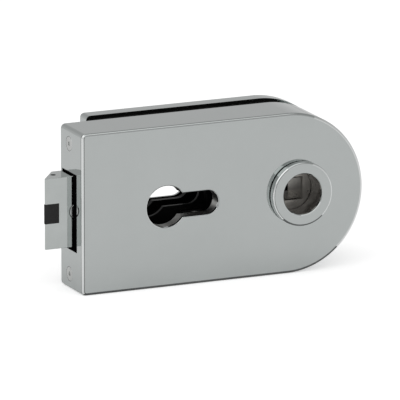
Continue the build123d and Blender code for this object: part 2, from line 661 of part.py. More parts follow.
def make_clamp_sleeves():
    """Return the sleeves that keep the clamp screws off the glass."""
    ring = Circle(SLEEVE_RADIUS) - Circle(CLAMP_SCREW_RADIUS + SEAT_GAP)
    return [slab(Pos(x, z) * ring, LID_BACK, PLATE_FRONT) for x, z in clamp_places()]


def make_cylinder_spacer():
    """Return the collar round the profile cylinder, from the lid through the glass to the plate."""
    return slab(cylinder_outline(SPACER_WALL) - cylinder_outline(), LID_BACK, PLATE_FRONT)


def make_spindle_spacer():
    """Return the collar round the handle spindle, from the lid through the glass to the plate."""
    ring = Circle(JOURNAL_RADIUS + SPACER_WALL) - Circle(JOURNAL_RADIUS + END_GAP)
    return slab(ring, LID_BACK, PLATE_FRONT)


# Latch

def insert_space(proud):
    """Return the space of the damping insert in the bolt's tip, grown out of the tip by proud."""
    tip = LATCH_TIP_X
    half = INSERT_HEIGHT / 2
    middle = LATCH_FRONT + INSERT_PIN_DEPTH
    y_tongue = (middle - INSERT_TONGUE_THICKNESS / 2, middle + INSERT_TONGUE_THICKNESS / 2)
    front = block((tip - proud, tip + INSERT_WIDTH), (LATCH_FRONT, LATCH_BACK), (-half, half))
    return front + block((tip + INSERT_WIDTH, tip + INSERT_WIDTH + TONGUE_LENGTH), y_tongue, (-half, half))


def insert_pin(half_length):
    """Return the cross pin of the insert."""
    return rod_z(LATCH_TIP_X + INSERT_PIN_FROM_TIP, LATCH_FRONT + INSERT_PIN_DEPTH, INSERT_PIN_RADIUS,
                 -half_length, half_length)


def bolt_body(proud=0.0):
    """Return the bolt's outline raised over its height."""
    bottom = Plane.XY.offset(-LATCH_HALF_HEIGHT)
    return extrude(bottom * latch_outline(proud), amount=2 * LATCH_HALF_HEIGHT)


def shank_tongue(gap=0.0):
    """Return the tongue of the shank that sits in the bolt."""
    x_span = (END_X - SHANK_TONGUE_REACH - gap, LATCH_BACK_X)
    y_span = (SHANK_BACK - gap, SHANK_BACK + SHANK_THICKNESS + gap)
    return block(x_span, y_span, (-SHANK_TONGUE_HALF - gap, SHANK_TONGUE_HALF + gap))


def make_latch_bolt():
    """Return the bevelled head of the latch."""
    bolt = chamfer(bolt_body().edges().filter_by(Axis.X), LATCH_EDGE)
    bolt -= insert_space(INSERT_PROUD)
    bolt -= insert_pin(LATCH_HALF_HEIGHT)
    bolt -= shank_tongue(SEAT_GAP)
    head_end = LATCH_FRONT + LATCH_SCREW_HEAD
    bolt -= rod_y(LATCH_SCREW_X, 0, LATCH_SCREW_RADIUS + PIN_GAP, LATCH_FRONT, head_end)
    return bolt - rod_y(LATCH_SCREW_X, 0, LATCH_SCREW_SHANK + PIN_GAP, LATCH_FRONT, SHANK_BACK)


def make_latch_insert():
    """Return the damping block in the bolt's tip."""
    return (bolt_body(INSERT_PROUD) & insert_space(INSERT_PROUD)) - insert_pin(LATCH_HALF_HEIGHT)


def make_latch_screw():
    """Return the round screw, flush in the bolt's front face, that holds its shank."""
    head_end = LATCH_FRONT + LATCH_SCREW_HEAD
    screw = rod_y(LATCH_SCREW_X, 0, LATCH_SCREW_RADIUS, LATCH_FRONT, head_end)
    screw += rod_y(LATCH_SCREW_X, 0, LATCH_SCREW_SHANK, head_end, SHANK_BACK + SHANK_THICKNESS)
    socket = Pos(LATCH_SCREW_X, 0) * RegularPolygon(LATCH_SCREW_SHANK * SOCKET_SHARE, 6)
    return screw - slab(socket, LATCH_FRONT, LATCH_FRONT + SOCKET_DEPTH)


def make_latch_shank():
    """Return the plate that carries the bolt, with the bar that the drive slide pulls."""
    web = (LATCH_BACK_X, LATCH_BACK_X + SHANK_WEB)
    pin_room = DRIVE_PIN_RADIUS + SLIDING_GAP
    bar_end = DRIVE_PIN_X + pin_room + BAR_END_WALL
    outline = window(web, (-BAR_TOP, BAR_TOP)) + window((web[0], bar_end), (BAR_BOTTOM, BAR_TOP))
    outline -= travel_slot(DRIVE_PIN_X, BAR_MIDDLE, pin_room)
    notch = (NOTCH_X, NOSE_X + NOSE_WIDTH + END_GAP)
    outline -= window(notch, (BAR_TOP - NOTCH_DEPTH, BAR_TOP))
    shank = slab(outline, SHANK_FRONT, SHANK_BACK)
    shank += block(web, (SHANK_BACK, SHANK_BACK + SHANK_THICKNESS), (-SHANK_PAD_HALF, SHANK_PAD_HALF))
    shank += shank_tongue()
    shank += rod_x(SHANK_MIDDLE, LATCH_SPRING_HEIGHT, ROD_BOSS_RADIUS, *web)
    shank -= rod_x(SHANK_MIDDLE, LATCH_SPRING_HEIGHT, ROD_RADIUS + SLIDING_GAP, *web)
    pad_back = SHANK_BACK + SHANK_THICKNESS
    return shank - rod_y(LATCH_SCREW_X, 0, LATCH_SCREW_SHANK + PIN_GAP, SHANK_BACK, pad_back)


# Handle drive

def make_follower():
    """Return the square-holed nut that the handle turns, with its arm and pin."""
    skirt_front = NUT_BACK + END_GAP
    journal_end = LID_BACK - END_GAP
    follower = rod_y(0, 0, HUB_RADIUS, skirt_front, HUB_BACK)
    follower += rod_y(0, 0, JOURNAL_RADIUS, HUB_BACK, journal_end)
    arm = bar_outline((0, 0), (ARM_PIN_X, ARM_PIN_Z), ARM_WIDTH / 2, ARM_WIDTH / 2)
    follower += slab(arm, LEVER_FRONT, LEVER_BACK)
    follower += rod_y(ARM_PIN_X, ARM_PIN_Z, ARM_PIN_RADIUS, SLIDE_FRONT, LEVER_FRONT)
    follower -= rod_y(0, 0, BUSH_RADIUS + RUNNING_GAP, skirt_front, FOLLOWER_DEPTH)
    follower -= slab(Rectangle(SQUARE, SQUARE), FOLLOWER_DEPTH, journal_end)
    mouth = SQUARE + 2 * SQUARE_LEAD
    lead = loft([Plane.XZ.offset(-FOLLOWER_DEPTH) * Rectangle(mouth, mouth),
                 Plane.XZ.offset(-FOLLOWER_DEPTH - SQUARE_LEAD) * Rectangle(SQUARE, SQUARE)])
    return follower - lead


def make_drive_slide():
    """Return the slide between the follower's arm and the latch shank."""
    fork_half = ARM_PIN_RADIUS + SLIDING_GAP
    fork = (ARM_PIN_X - fork_half - PRONG_WIDTH, ARM_PIN_X + fork_half + PRONG_WIDTH)
    fork_bottom = HUB_RADIUS + HUB_GAP
    slot_top = ARM_LENGTH + fork_half
    fork_top = max(BAR_TOP, slot_top + FORK_WALL)
    left = DRIVE_PIN_X - DRIVE_PIN_RADIUS - SLIDE_END_WALL
    outline = window((left, fork[1]), (BAR_BOTTOM, BAR_TOP)) + window(fork, (fork_bottom, fork_top))
    outline -= window((ARM_PIN_X - fork_half, ARM_PIN_X + fork_half), (fork_bottom, slot_top))
    tab = (TAB_X, TAB_X + TAB_THICKNESS)
    outline += window(tab, (BAR_TOP, ARC_RADIUS - TAB_FROM_TOP))
    room = GUIDE_PIN_RADIUS + SLIDING_GAP
    for x in SLIDE_PINS_X:
        outline -= travel_slot(x, BAR_MIDDLE, room)
    top = LEVER_PIVOT_HEIGHT + LEVER_REACH
    outline -= bar_outline((LEVER_TOP_X, LEVER_TOP_Z), (LEVER_TOP_X, top), room, room)
    outline -= Pos(DRIVE_PIN_X, BAR_MIDDLE) * Circle(DRIVE_PIN_RADIUS)
    slide = slab(outline, SLIDE_FRONT, SLIDE_BACK)
    slide += rod_x(SLIDE_MIDDLE, RETURN_SPRING_HEIGHT, ROD_BOSS_RADIUS, *tab)
    return slide - rod_x(SLIDE_MIDDLE, RETURN_SPRING_HEIGHT, ROD_RADIUS + SLIDING_GAP, *tab)


def make_drive_pin():
    """Return the pin of the drive slide in the shank's slot."""
    return rod_y(DRIVE_PIN_X, BAR_MIDDLE, DRIVE_PIN_RADIUS, SHANK_FRONT, SLIDE_BACK)


def make_slide_pins():
    """Return the shouldered pins riveted in the lid that guide the drive slide."""
    pins = []
    for x in SLIDE_PINS_X:
        pin = rod_y(x, BAR_MIDDLE, GUIDE_PIN_RADIUS, SLIDE_FRONT, LID_BACK)
        pins.append(pin + rod_y(x, BAR_MIDDLE, SHOULDER_RADIUS, SLIDE_BACK + SLIDING_GAP, LID_FRONT))
    return pins


# Springs and their rods

def spring(y, z, start, end):
    """Return a compression spring along X between two faces."""
    height = end - start - 2 * SPRING_WIRE
    centre = (start + SPRING_WIRE, y, z)
    path = Helix(height / SPRING_TURNS, height, SPRING_RADIUS, center=centre, direction=(1, 0, 0))
    section = Plane(origin=path @ 0, z_dir=path % 0) * Circle(SPRING_WIRE)
    return sweep(section, path=path, is_frenet=True)


def make_latch_spring():
    """Return the spring that pushes the latch out."""
    return spring(SHANK_MIDDLE, LATCH_SPRING_HEIGHT, LATCH_BACK_X + SHANK_WEB, LATCH_STOP_X)


def make_return_spring():
    """Return the spring that turns the handle back."""
    return spring(SLIDE_MIDDLE, RETURN_SPRING_HEIGHT, TAB_X + TAB_THICKNESS, RETURN_STOP_X)


def make_latch_spring_rod():
    """Return the rod inside the latch spring."""
    start = LATCH_BACK_X + SHANK_WEB - ROD_OVERHANG
    return rod_x(SHANK_MIDDLE, LATCH_SPRING_HEIGHT, ROD_RADIUS, start, LATCH_STOP_X + STOP_THICKNESS)


def make_return_spring_rod():
    """Return the rod inside the return spring."""
    start = TAB_X - ROD_OVERHANG
    return rod_x(SLIDE_MIDDLE, RETURN_SPRING_HEIGHT, ROD_RADIUS, start, RETURN_STOP_X + STOP_THICKNESS)


# Key side: change lever and deadlock lever

def make_change_lever():
    """Return the lever by which the key draws the latch back."""
    pivot = (LEVER_X, LEVER_PIVOT_HEIGHT)
    top = (LEVER_TOP_X, LEVER_TOP_Z)
    share = LEVER_FOOT_ROOT
    root = tuple(a + share * (b - a) for a, b in zip(pivot, top))
    tip = (CYLINDER_X + LEVER_FOOT_X, LEVER_FOOT_Z)
    outline = bar_outline(pivot, top, LEVER_HUB_RADIUS, LEVER_HEAD_RADIUS)
    outline += bar_outline(root, tip, LEVER_HEAD_RADIUS, LEVER_FOOT_RADIUS)
    outline -= Pos(*pivot) * Circle(LEVER_PIVOT_RADIUS + RUNNING_GAP)
    return slab(outline, LEVER_FRONT, LEVER_BACK) + rod_y(*top, GUIDE_PIN_RADIUS, SLIDE_FRONT, LEVER_FRONT)


def make_lever_pivot():
    """Return the change lever's pin, which runs from the floor to the lid."""
    pivot = rod_y(LEVER_X, LEVER_PIVOT_HEIGHT, LEVER_PIVOT_RADIUS, COVER_WALL, LID_BACK)
    base_end = LEVER_FRONT - SLIDING_GAP
    return pivot + rod_y(LEVER_X, LEVER_PIVOT_HEIGHT, PIVOT_BASE_RADIUS, FLOOR_BACK, base_end)


def make_lever_spacer():
    """Return the ring between the change lever and the lid."""
    ring = Circle(PIVOT_BASE_RADIUS) - Circle(LEVER_PIVOT_RADIUS + RUNNING_GAP)
    return slab(Pos(LEVER_X, LEVER_PIVOT_HEIGHT) * ring, LEVER_BACK + SLIDING_GAP, LID_FRONT)


def make_deadlock_lever():
    """Return the lever whose nose drops into the shank's notch when the cam pushes its lug."""
    pivot = (DEADLOCK_X, DEADLOCK_PIVOT_HEIGHT)
    half = DEADLOCK_BAR_WIDTH / 2
    nose = (NOSE_X, NOSE_X + NOSE_WIDTH)
    nose_bottom = BAR_TOP + NOSE_RISE
    nose_z = (nose_bottom, nose_bottom + NOSE_HEIGHT)
    lug_x = (DEADLOCK_X + LUG_FROM_PIVOT, DEADLOCK_X + LUG_FROM_PIVOT + LUG_WIDTH)
    lug_bottom = CYLINDER_RADIUS + COLLAR_WALL + LUG_CLEARANCE
    lug_z = (lug_bottom, lug_bottom + LUG_HEIGHT)
    arm_z = (DEADLOCK_PIVOT_HEIGHT - half, DEADLOCK_PIVOT_HEIGHT + half)
    outline = window((NOSE_X, DEADLOCK_X), arm_z) + window(nose, (arm_z[0], nose_z[1]))
    hub = Pos(*pivot) * Circle(DEADLOCK_HUB_RADIUS)
    outline += make_hull((hub + window(lug_x, lug_z)).edges())
    outline -= Pos(*pivot) * Circle(GUIDE_PIN_RADIUS + RUNNING_GAP)
    lever = slab(outline, DEADLOCK_FRONT, DEADLOCK_BACK)
    lever += block(nose, (DEADLOCK_BACK, SHANK_BACK), nose_z)
    return lever + block(lug_x, (DEADLOCK_BACK, SHANK_BACK), lug_z)


def make_deadlock_pivot():
    """Return the headed pin, riveted in the case's floor, on which the deadlock lever turns."""
    head = DEADLOCK_BACK + SLIDING_GAP
    pin = rod_y(DEADLOCK_X, DEADLOCK_PIVOT_HEIGHT, GUIDE_PIN_RADIUS, COVER_WALL, head)
    head_end = head + DEADLOCK_HEAD_LENGTH
    pin += rod_y(DEADLOCK_X, DEADLOCK_PIVOT_HEIGHT, SHOULDER_RADIUS, head, head_end)
    shoulder_end = DEADLOCK_FRONT - SLIDING_GAP
    return pin + rod_y(DEADLOCK_X, DEADLOCK_PIVOT_HEIGHT, SHOULDER_RADIUS, FLOOR_BACK, shoulder_end)


PARTS = {
    "front_cover": make_front_cover,
    "lock_case": make_lock_case,
    "case_lid": make_case_lid,
    "lid_screws": make_lid_screws,
    "side_screws": make_side_screws,
    "latch_guide": make_latch_guide,
    "front_handle_ring": lambda: handle_ring(NUT_BACK),
    "front_bush": lambda: handle_bush(FOLLOWER_DEPTH - END_GAP),
    "front_ring_nut": lambda: ring_nut(FLOOR_BACK),
    "rear_handle_ring": lambda: on_the_back(handle_ring(REAR_NECK)),
    "rear_bush": lambda: on_the_back(handle_bush(REAR_NECK)),
    "rear_ring_nut": lambda: ring_nut(REAR_FACE - COVER_WALL - NUT_THICKNESS),
    "front_gasket": lambda: gasket(LID_BACK),
    "rear_gasket": lambda: gasket(GLASS_BACK),
    "cylinder_spacer": make_cylinder_spacer,
    "spindle_spacer": make_spindle_spacer,
    "clamp_screws": make_clamp_screws,
    "clamp_sleeves": make_clamp_sleeves,
    "rear_plate": make_rear_plate,
    "rear_cover": make_rear_cover,
    "rear_cover_screws": make_rear_cover_screws,
    "cylinder_screw": make_cylinder_screw,
    "latch_bolt": make_latch_bolt,
    "latch_insert": make_latch_insert,
    "insert_pin": lambda: insert_pin(LATCH_HALF_HEIGHT - INSERT_PIN_SUNK),
    "latch_screw": make_latch_screw,
    "latch_shank": make_latch_shank,
    "latch_spring": make_latch_spring,
    "latch_spring_rod": make_latch_spring_rod,
    "follower": make_follower,
    "drive_slide": make_drive_slide,
    "drive_pin": make_drive_pin,
    "slide_guide_pins": make_slide_pins,
    "return_spring": make_return_spring,
    "return_spring_rod": make_return_spring_rod,
    "change_lever": make_change_lever,
    "lever_pivot": make_lever_pivot,
    "lever_spacer": make_lever_spacer,
    "deadlock_lever": make_deadlock_lever,
    "deadlock_pivot": make_deadlock_pivot,
}

os.makedirs("parts", exist_ok=True)
for name, make in PARTS.items():
    made = make()
    solids = made if isinstance(made, list) else made.solids()
    shape = solids[0] if len(solids) == 1 else Compound(children=list(solids))
    export_step(shape, f"parts/{name}.step")
    print(f"{name}: {len(solids)} solid(s), {sum(solid.volume for solid in solids):.0f} mm3")
print(f"latch travel {LATCH_TRAVEL:.3f} mm, change lever swing {2 * LEVER_HALF_SWING:.3f} degrees, "
      f"deadlock lever swing {DEADLOCK_SWING:.3f} degrees")
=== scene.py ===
import json
import logging
import math
from collections.abc import Iterable, Sequence
from dataclasses import dataclass
from enum import Enum

import bmesh
import bpy
from mathutils import Euler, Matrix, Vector

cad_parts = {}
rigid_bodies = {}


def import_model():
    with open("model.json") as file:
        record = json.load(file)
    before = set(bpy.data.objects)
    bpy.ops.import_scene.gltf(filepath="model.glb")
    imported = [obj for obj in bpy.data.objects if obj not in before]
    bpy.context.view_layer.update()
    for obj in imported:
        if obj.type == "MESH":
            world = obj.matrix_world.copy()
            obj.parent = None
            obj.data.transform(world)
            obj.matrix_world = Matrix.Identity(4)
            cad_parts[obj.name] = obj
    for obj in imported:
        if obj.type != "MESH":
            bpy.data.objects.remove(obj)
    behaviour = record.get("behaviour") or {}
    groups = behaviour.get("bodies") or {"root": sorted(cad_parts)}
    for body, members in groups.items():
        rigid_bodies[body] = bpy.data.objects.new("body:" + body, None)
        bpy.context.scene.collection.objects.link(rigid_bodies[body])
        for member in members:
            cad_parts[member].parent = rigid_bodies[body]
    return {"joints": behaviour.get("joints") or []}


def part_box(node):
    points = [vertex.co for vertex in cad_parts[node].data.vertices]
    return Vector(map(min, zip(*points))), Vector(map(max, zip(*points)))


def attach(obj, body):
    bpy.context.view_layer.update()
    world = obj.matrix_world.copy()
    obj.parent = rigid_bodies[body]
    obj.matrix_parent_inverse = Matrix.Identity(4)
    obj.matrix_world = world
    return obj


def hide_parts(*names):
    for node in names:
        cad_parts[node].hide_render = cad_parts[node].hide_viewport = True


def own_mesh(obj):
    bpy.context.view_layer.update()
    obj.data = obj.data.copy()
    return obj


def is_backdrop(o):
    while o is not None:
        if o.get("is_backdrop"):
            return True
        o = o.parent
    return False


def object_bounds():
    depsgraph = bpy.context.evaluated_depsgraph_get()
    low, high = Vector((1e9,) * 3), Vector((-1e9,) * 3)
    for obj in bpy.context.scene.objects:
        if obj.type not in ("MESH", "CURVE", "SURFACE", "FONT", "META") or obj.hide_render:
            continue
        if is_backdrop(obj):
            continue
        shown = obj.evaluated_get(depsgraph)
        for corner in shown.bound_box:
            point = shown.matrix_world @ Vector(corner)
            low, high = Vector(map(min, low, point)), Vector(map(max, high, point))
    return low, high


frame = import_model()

LOG = logging.getLogger("patch lock")
MM = 0.001

Point = tuple[float, float]
Range = tuple[float, float]
Colour = tuple[float, float, float]
Place = tuple[float, float, float]
Loop = Sequence[bmesh.types.BMVert]
Socket = bpy.types.NodeSocket

# Sizes that more than one piece shares
COVER_WALL = 1.5
COVER_EDGE = 1.2
COVER_CORNER = 2.0
ARC_RADIUS = 36.0
ARC_X = -5.5
CYLINDER_X = -63.5
CYLINDER_RADIUS = 9.3
WEB_HALF_WIDTH = 5.4
WEB_END_X = -44.2
CUTOUT_EDGE = 0.35
NECK_HOLE_RADIUS = 12.05
BORE_RADIUS = 9.2
BUSH_RADIUS = 10.5

# How far a cutting tool reaches past what it cuts
THROUGH = 1.0

# Numbers of stretches in round shapes
CORNER_STEPS = 6
ROUND_END_STEPS = 120
CUTOUT_STEPS = 56
WEB_STEPS = 28
HOLE_STEPS = 96
TOOL_STEPS = 64
LATHE_STEPS = 128

# Sharpest turn, in radians, across which a surface is still shaded smoothly
SMOOTH_BELOW = math.radians(32)

# Corners closer than this, in metres, are one corner
SAME_CORNER = 1e-7


class Grain(Enum):
    """Direction in which a finish is drawn out, as the stretch of its scratches along X, Y and Z."""

    ALONG_X = (0.06, 1.0, 1.0)
    ALONG_Z = (1.0, 1.0, 0.06)
    EVEN = (1.0, 1.0, 1.0)


class Facing(Enum):
    """Direction in which a screw or a spring points, with the turn that brings +Z there."""

    PLUS_X = ((1.0, 0.0, 0.0), (0.0, math.pi / 2, 0.0))
    PLUS_Y = ((0.0, 1.0, 0.0), (-math.pi / 2, 0.0, 0.0))
    MINUS_Y = ((0.0, -1.0, 0.0), (math.pi / 2, 0.0, 0.0))
    PLUS_Z = ((0.0, 0.0, 1.0), (0.0, 0.0, 0.0))

    @property
    def axis(self) -> Vector:
        """Return the direction."""
        return Vector(self.value[0])

    @property
    def turn(self) -> Place:
        """Return the turn, as an angle round each axis."""
        return self.value[1]


# Outlines, drawn in X and Z

def arc(centre: Point, radius: float, start: float, end: float, steps: int) -> list[Point]:
    """Return the points on an arc of that many stretches, between two angles in degrees."""
    turns = [math.radians(start + (end - start) * step / steps) for step in range(steps + 1)]
    return [(centre[0] + radius * math.cos(turn), centre[1] + radius * math.sin(turn)) for turn in turns]


def circle(radius: float, steps: int) -> list[Point]:
    """Return a circle round the origin, without its closing point."""
    return arc((0, 0), radius, 0, 360, steps)[:-1]


def quarter(radius: float, steps: int) -> list[Point]:
    """Return how far the points of a quarter round lie from its first wall and from its second."""
    turns = [math.pi / 2 * step / steps for step in range(steps + 1)]
    return [(radius * (1 - math.cos(turn)), radius * (1 - math.sin(turn))) for turn in turns]


def d_outline(left: float, inset: float) -> list[Point]:
    """Return the lock's D outline.

    Args:
        left: X of its straight end.
        inset: How far it is drawn in all round.

    Returns:
        Its points, from the lower left corner.
    """
    corner_x, corner_z = left + COVER_CORNER, ARC_RADIUS - COVER_CORNER
    return (arc((corner_x, -corner_z), COVER_CORNER - inset, 180, 270, CORNER_STEPS)
            + arc((ARC_X, 0), ARC_RADIUS - inset, -90, 90, ROUND_END_STEPS)
            + arc((corner_x, corner_z), COVER_CORNER - inset, 90, 180, CORNER_STEPS))


def cutout_outline(grow: float) -> list[Point]:
    """Return the outline of the cylinder cut-out.

    Args:
        grow: How far it is grown all round.

    Returns:
        Its points, from where the round part meets the web.
    """
    radius, half = CYLINDER_RADIUS + grow, WEB_HALF_WIDTH + grow
    meeting = math.degrees(math.asin(half / radius))
    return (arc((CYLINDER_X, 0), radius, meeting, 360 - meeting, CUTOUT_STEPS)
            + arc((WEB_END_X, 0), half, -90, 90, WEB_STEPS))


# Meshes

def place(name: str, data: bpy.types.ID) -> bpy.types.Object:
    """Put a mesh, a lamp or a camera into the scene.

    Args:
        name: Name of its object.
        data: What the object carries.

    Returns:
        The object.
    """
    thing = bpy.data.objects.new(name, data)
    bpy.context.scene.collection.objects.link(thing)
    return thing


def turned(loop: Sequence[object]) -> list[object]:
    """Return a loop that starts one place later."""
    return [*loop[1:], loop[0]]


class Former:
    """Collects the faces of one closed piece and turns them into an object."""

    def __init__(self) -> None:
        """Start with no faces."""
        self.mesh = bmesh.new()

    def corners(self, points: Iterable[Vector]) -> Loop:
        """Add a corner at each point."""
        return [self.mesh.verts.new(point * MM) for point in points]

    def loop(self, points: Sequence[Point], depth: float) -> Loop:
        """Add a loop of corners drawn in X and Z at one depth."""
        return [self.mesh.verts.new((x * MM, depth * MM, z * MM)) for x, z in points]

    def bridge(self, first: Loop, second: Loop) -> None:
        """Join two loops of equal length by a band of faces."""
        for corners in zip(first, turned(first), turned(second), second):
            self.mesh.faces.new(corners)

    def stack(self, loops: Sequence[Loop]) -> None:
        """Join loops one after another."""
        for first, second in zip(loops, loops[1:]):
            self.bridge(first, second)

    def cap(self, loops: Sequence[Loop]) -> None:
        """Fill the flat space between an outer loop and the loops of its holes."""
        edges = [self.mesh.edges.get(ends) or self.mesh.edges.new(ends)
                 for loop in loops for ends in zip(loop, turned(loop))]
        bmesh.ops.triangle_fill(self.mesh, use_beauty=True, edges=edges)

    def solid(self, near: Loop, far: Loop) -> None:
        """Add a closed solid between two flat ends.

        Args:
            near: Loop of one end.
            far: Loop of the other, of equal length.
        """
        self.bridge(near, far)
        self.mesh.faces.new(near)
        self.mesh.faces.new(far)

    def prism(self, points: Sequence[Vector], along: Vector) -> None:
        """Add a closed prism from the corners of one end and the way to the other."""
        self.solid(self.corners(points), self.corners(point + along for point in points))

    def box(self, low: Sequence[float], high: Sequence[float]) -> None:
        """Add a closed box between two corners."""
        foot = ((low[0], low[1]), (high[0], low[1]), (high[0], high[1]), (low[0], high[1]))
        self.prism([Vector((x, y, low[2])) for x, y in foot], Vector((0, 0, high[2] - low[2])))

    def lathe(self, profile: Sequence[Point]) -> None:
        """Turn a closed profile of radius and depth round the handle axis.

        Args:
            profile: Its corners.
        """
        rings = []
        for step in range(LATHE_STEPS):
            turn = 2 * math.pi * step / LATHE_STEPS
            rings.append([self.mesh.verts.new((radius * math.cos(turn) * MM, depth * MM,
                                               radius * math.sin(turn) * MM)) for radius, depth in profile])
        self.stack([*rings, rings[0]])

    def finish(self, name: str) -> bpy.types.Object:
        """Return the faces as an object whose normals point outwards.

        Args:
            name: Name of the object.

        Returns:
            The object, in the scene.
        """
        bmesh.ops.remove_doubles(self.mesh, verts=self.mesh.verts, dist=SAME_CORNER)
        bmesh.ops.recalc_face_normals(self.mesh, faces=self.mesh.faces)
        data = bpy.data.meshes.new(name)
        self.mesh.to_mesh(data)
        self.mesh.free()
        return place(name, data)


def settle(piece: bpy.types.Object) -> bpy.types.Object:
    """Turn a piece and its modifiers into a plain mesh.

    Args:
        piece: The object with its modifiers.

    Returns:
        The same object.
    """
    graph = bpy.context.evaluated_depsgraph_get()
    data = bpy.data.meshes.new_from_object(piece.evaluated_get(graph))
    piece.modifiers.clear()
    piece.data = data
    return piece


def ease_edges(piece: bpy.types.Object, width: float, segments: int) -> bpy.types.Object:
    """Round the sharp edges of a piece.

    Args:
        piece: The object.
        width: Width of the rounding.
        segments: Number of faces across it.

    Returns:
        The same object.
    """
    bevel = piece.modifiers.new("eased edges", "BEVEL")
    bevel.width = width * MM
    bevel.segments = segments
    bevel.limit_method = "ANGLE"
    bevel.angle_limit = SMOOTH_BELOW
    return settle(piece)


def cut(piece: bpy.types.Object, tools: Sequence[bpy.types.Object]) -> bpy.types.Object:
    """Cut tools out of a piece, and delete the tools.

    Args:
        piece: The object.
        tools: The closed shapes to cut away.

    Returns:
        The same object.
    """
    for tool in tools:
        knife = piece.modifiers.new("cut", "BOOLEAN")
        knife.operation = "DIFFERENCE"
        knife.solver = "EXACT"
        knife.object = tool
    settle(piece)
    for tool in tools:
        bpy.data.objects.remove(tool)
    return piece


def smooth(piece: bpy.types.Object) -> bpy.types.Object:
    """Shade curved faces smoothly and keep flat faces flat.

    Args:
        piece: The object.

    Returns:
        The same object.
    """
    piece.data.shade_smooth()
    piece.data.set_sharp_from_angle(angle=SMOOTH_BELOW)
    weighted = piece.modifiers.new("flat faces", "WEIGHTED_NORMAL")
    weighted.keep_sharp = True
    largest_face_rules = 100
    weighted.weight = largest_face_rules
    return settle(piece)


def round_tool(axis: Vector, start: Vector, radii: Range, length: float) -> bpy.types.Object:
    """Return a round cutting tool.

    Args:
        axis: Direction of the tool.
        start: Middle of its first end.
        radii: Radius at its first end and at its last.
        length: Its length.

    Returns:
        A cone or a cylinder.
    """
    former = Former()
    turn = axis.to_track_quat("Z", "Y")
    ends = [former.corners(start + turn @ Vector((x, y, along)) for x, y in circle(radius, TOOL_STEPS))
            for along, radius in zip((0, length), radii)]
    former.solid(*ends)
    return former.finish("round tool")


def block(name: str, low: Sequence[float], high: Sequence[float]) -> bpy.types.Object:
    """Return a box between two corners.

    Args:
        name: Name of the object.
        low: Its lowest corner.
        high: Its highest corner.

    Returns:
        The object.
    """
    former = Former()
    former.box(low, high)
    return former.finish(name)


# Node trees

FLOAT, VECTOR, COLOUR = "NodeSocketFloat", "NodeSocketVector", "NodeSocketColor"
GEOMETRY, MATERIAL = "NodeSocketGeometry", "NodeSocketMaterial"
SHADER_TREE, GEOMETRY_TREE = "ShaderNodeTree", "GeometryNodeTree"


class Network:
    """Adds nodes to one node tree and links them."""

    def __init__(self, tree: bpy.types.NodeTree) -> None:
        """Work on the given tree."""
        self.tree = tree

    def feed(self, socket: Socket, value: object) -> None:
        """Give an input a link or a plain value.

        Args:
            socket: The input.
            value: An output to link it to, or its value.
        """
        if isinstance(value, Socket):
            self.tree.links.new(value, socket)
        else:
            socket.default_value = value

    def fill(self, node: bpy.types.Node, **inputs: object) -> None:
        """Feed the inputs of a node, named with underscores for spaces."""
        for name, value in inputs.items():
            self.feed(node.inputs[name.replace("_", " ")], value)

    def add(self, kind: str, settings: dict | None = None, **inputs: object) -> bpy.types.Node:
        """Add a node.

        Args:
            kind: The node's type.
            settings: Values of the node's own properties.
            inputs: Values or outputs for its inputs, by name with underscores for spaces.

        Returns:
            The node.
        """
        node = self.tree.nodes.new(kind)
        for key, value in (settings or {}).items():
            setattr(node, key, value)
        self.fill(node, **inputs)
        return node

    def math(self, operation: str, first: object, second: object) -> Socket:
        """Return the result of a sum.

        Args:
            operation: Kind of sum.
            first: Its first value.
            second: Its second value.

        Returns:
            The output that holds the result.
        """
        node = self.add("ShaderNodeMath", {"operation": operation})
        self.feed(node.inputs[0], first)
        self.feed(node.inputs[1], second)
        return node.outputs[0]

    def spread(self, value: Socket, low: object, high: object, start: object = 0.0,
               end: object = 1.0) -> Socket:
        """Return a value moved from the range between start and end into the one from low to high."""
        return self.add("ShaderNodeMapRange", Value=value, From_Min=start, From_Max=end, To_Min=low,
                        To_Max=high).outputs["Result"]

    def own_place(self) -> Socket:
        """Return the place of a surface point in its object."""
        return self.add("ShaderNodeTexCoord").outputs["Object"]

    def noise(self, where: Socket, scale: object, detail: float, roughness: float = 0.5) -> Socket:
        """Return soft noise from 0 to 1 with a scale, a level of detail and its roughness."""
        return self.add("ShaderNodeTexNoise", Vector=where, Scale=scale, Detail=detail,
                        Roughness=roughness).outputs["Fac"]

    def group(self, name: str, **inputs: object) -> bpy.types.bpy_prop_collection:
        """Return the outputs of a shader group that is placed here with its own values."""
        return self.add("ShaderNodeGroup", {"node_tree": bpy.data.node_groups[name]}, **inputs).outputs

    def raised(self, geometry: Socket, height: object) -> Socket:
        """Return geometry moved upwards."""
        way = self.add("ShaderNodeCombineXYZ", Z=height).outputs[0]
        return self.add("GeometryNodeTransform", Geometry=geometry, Translation=way).outputs[0]


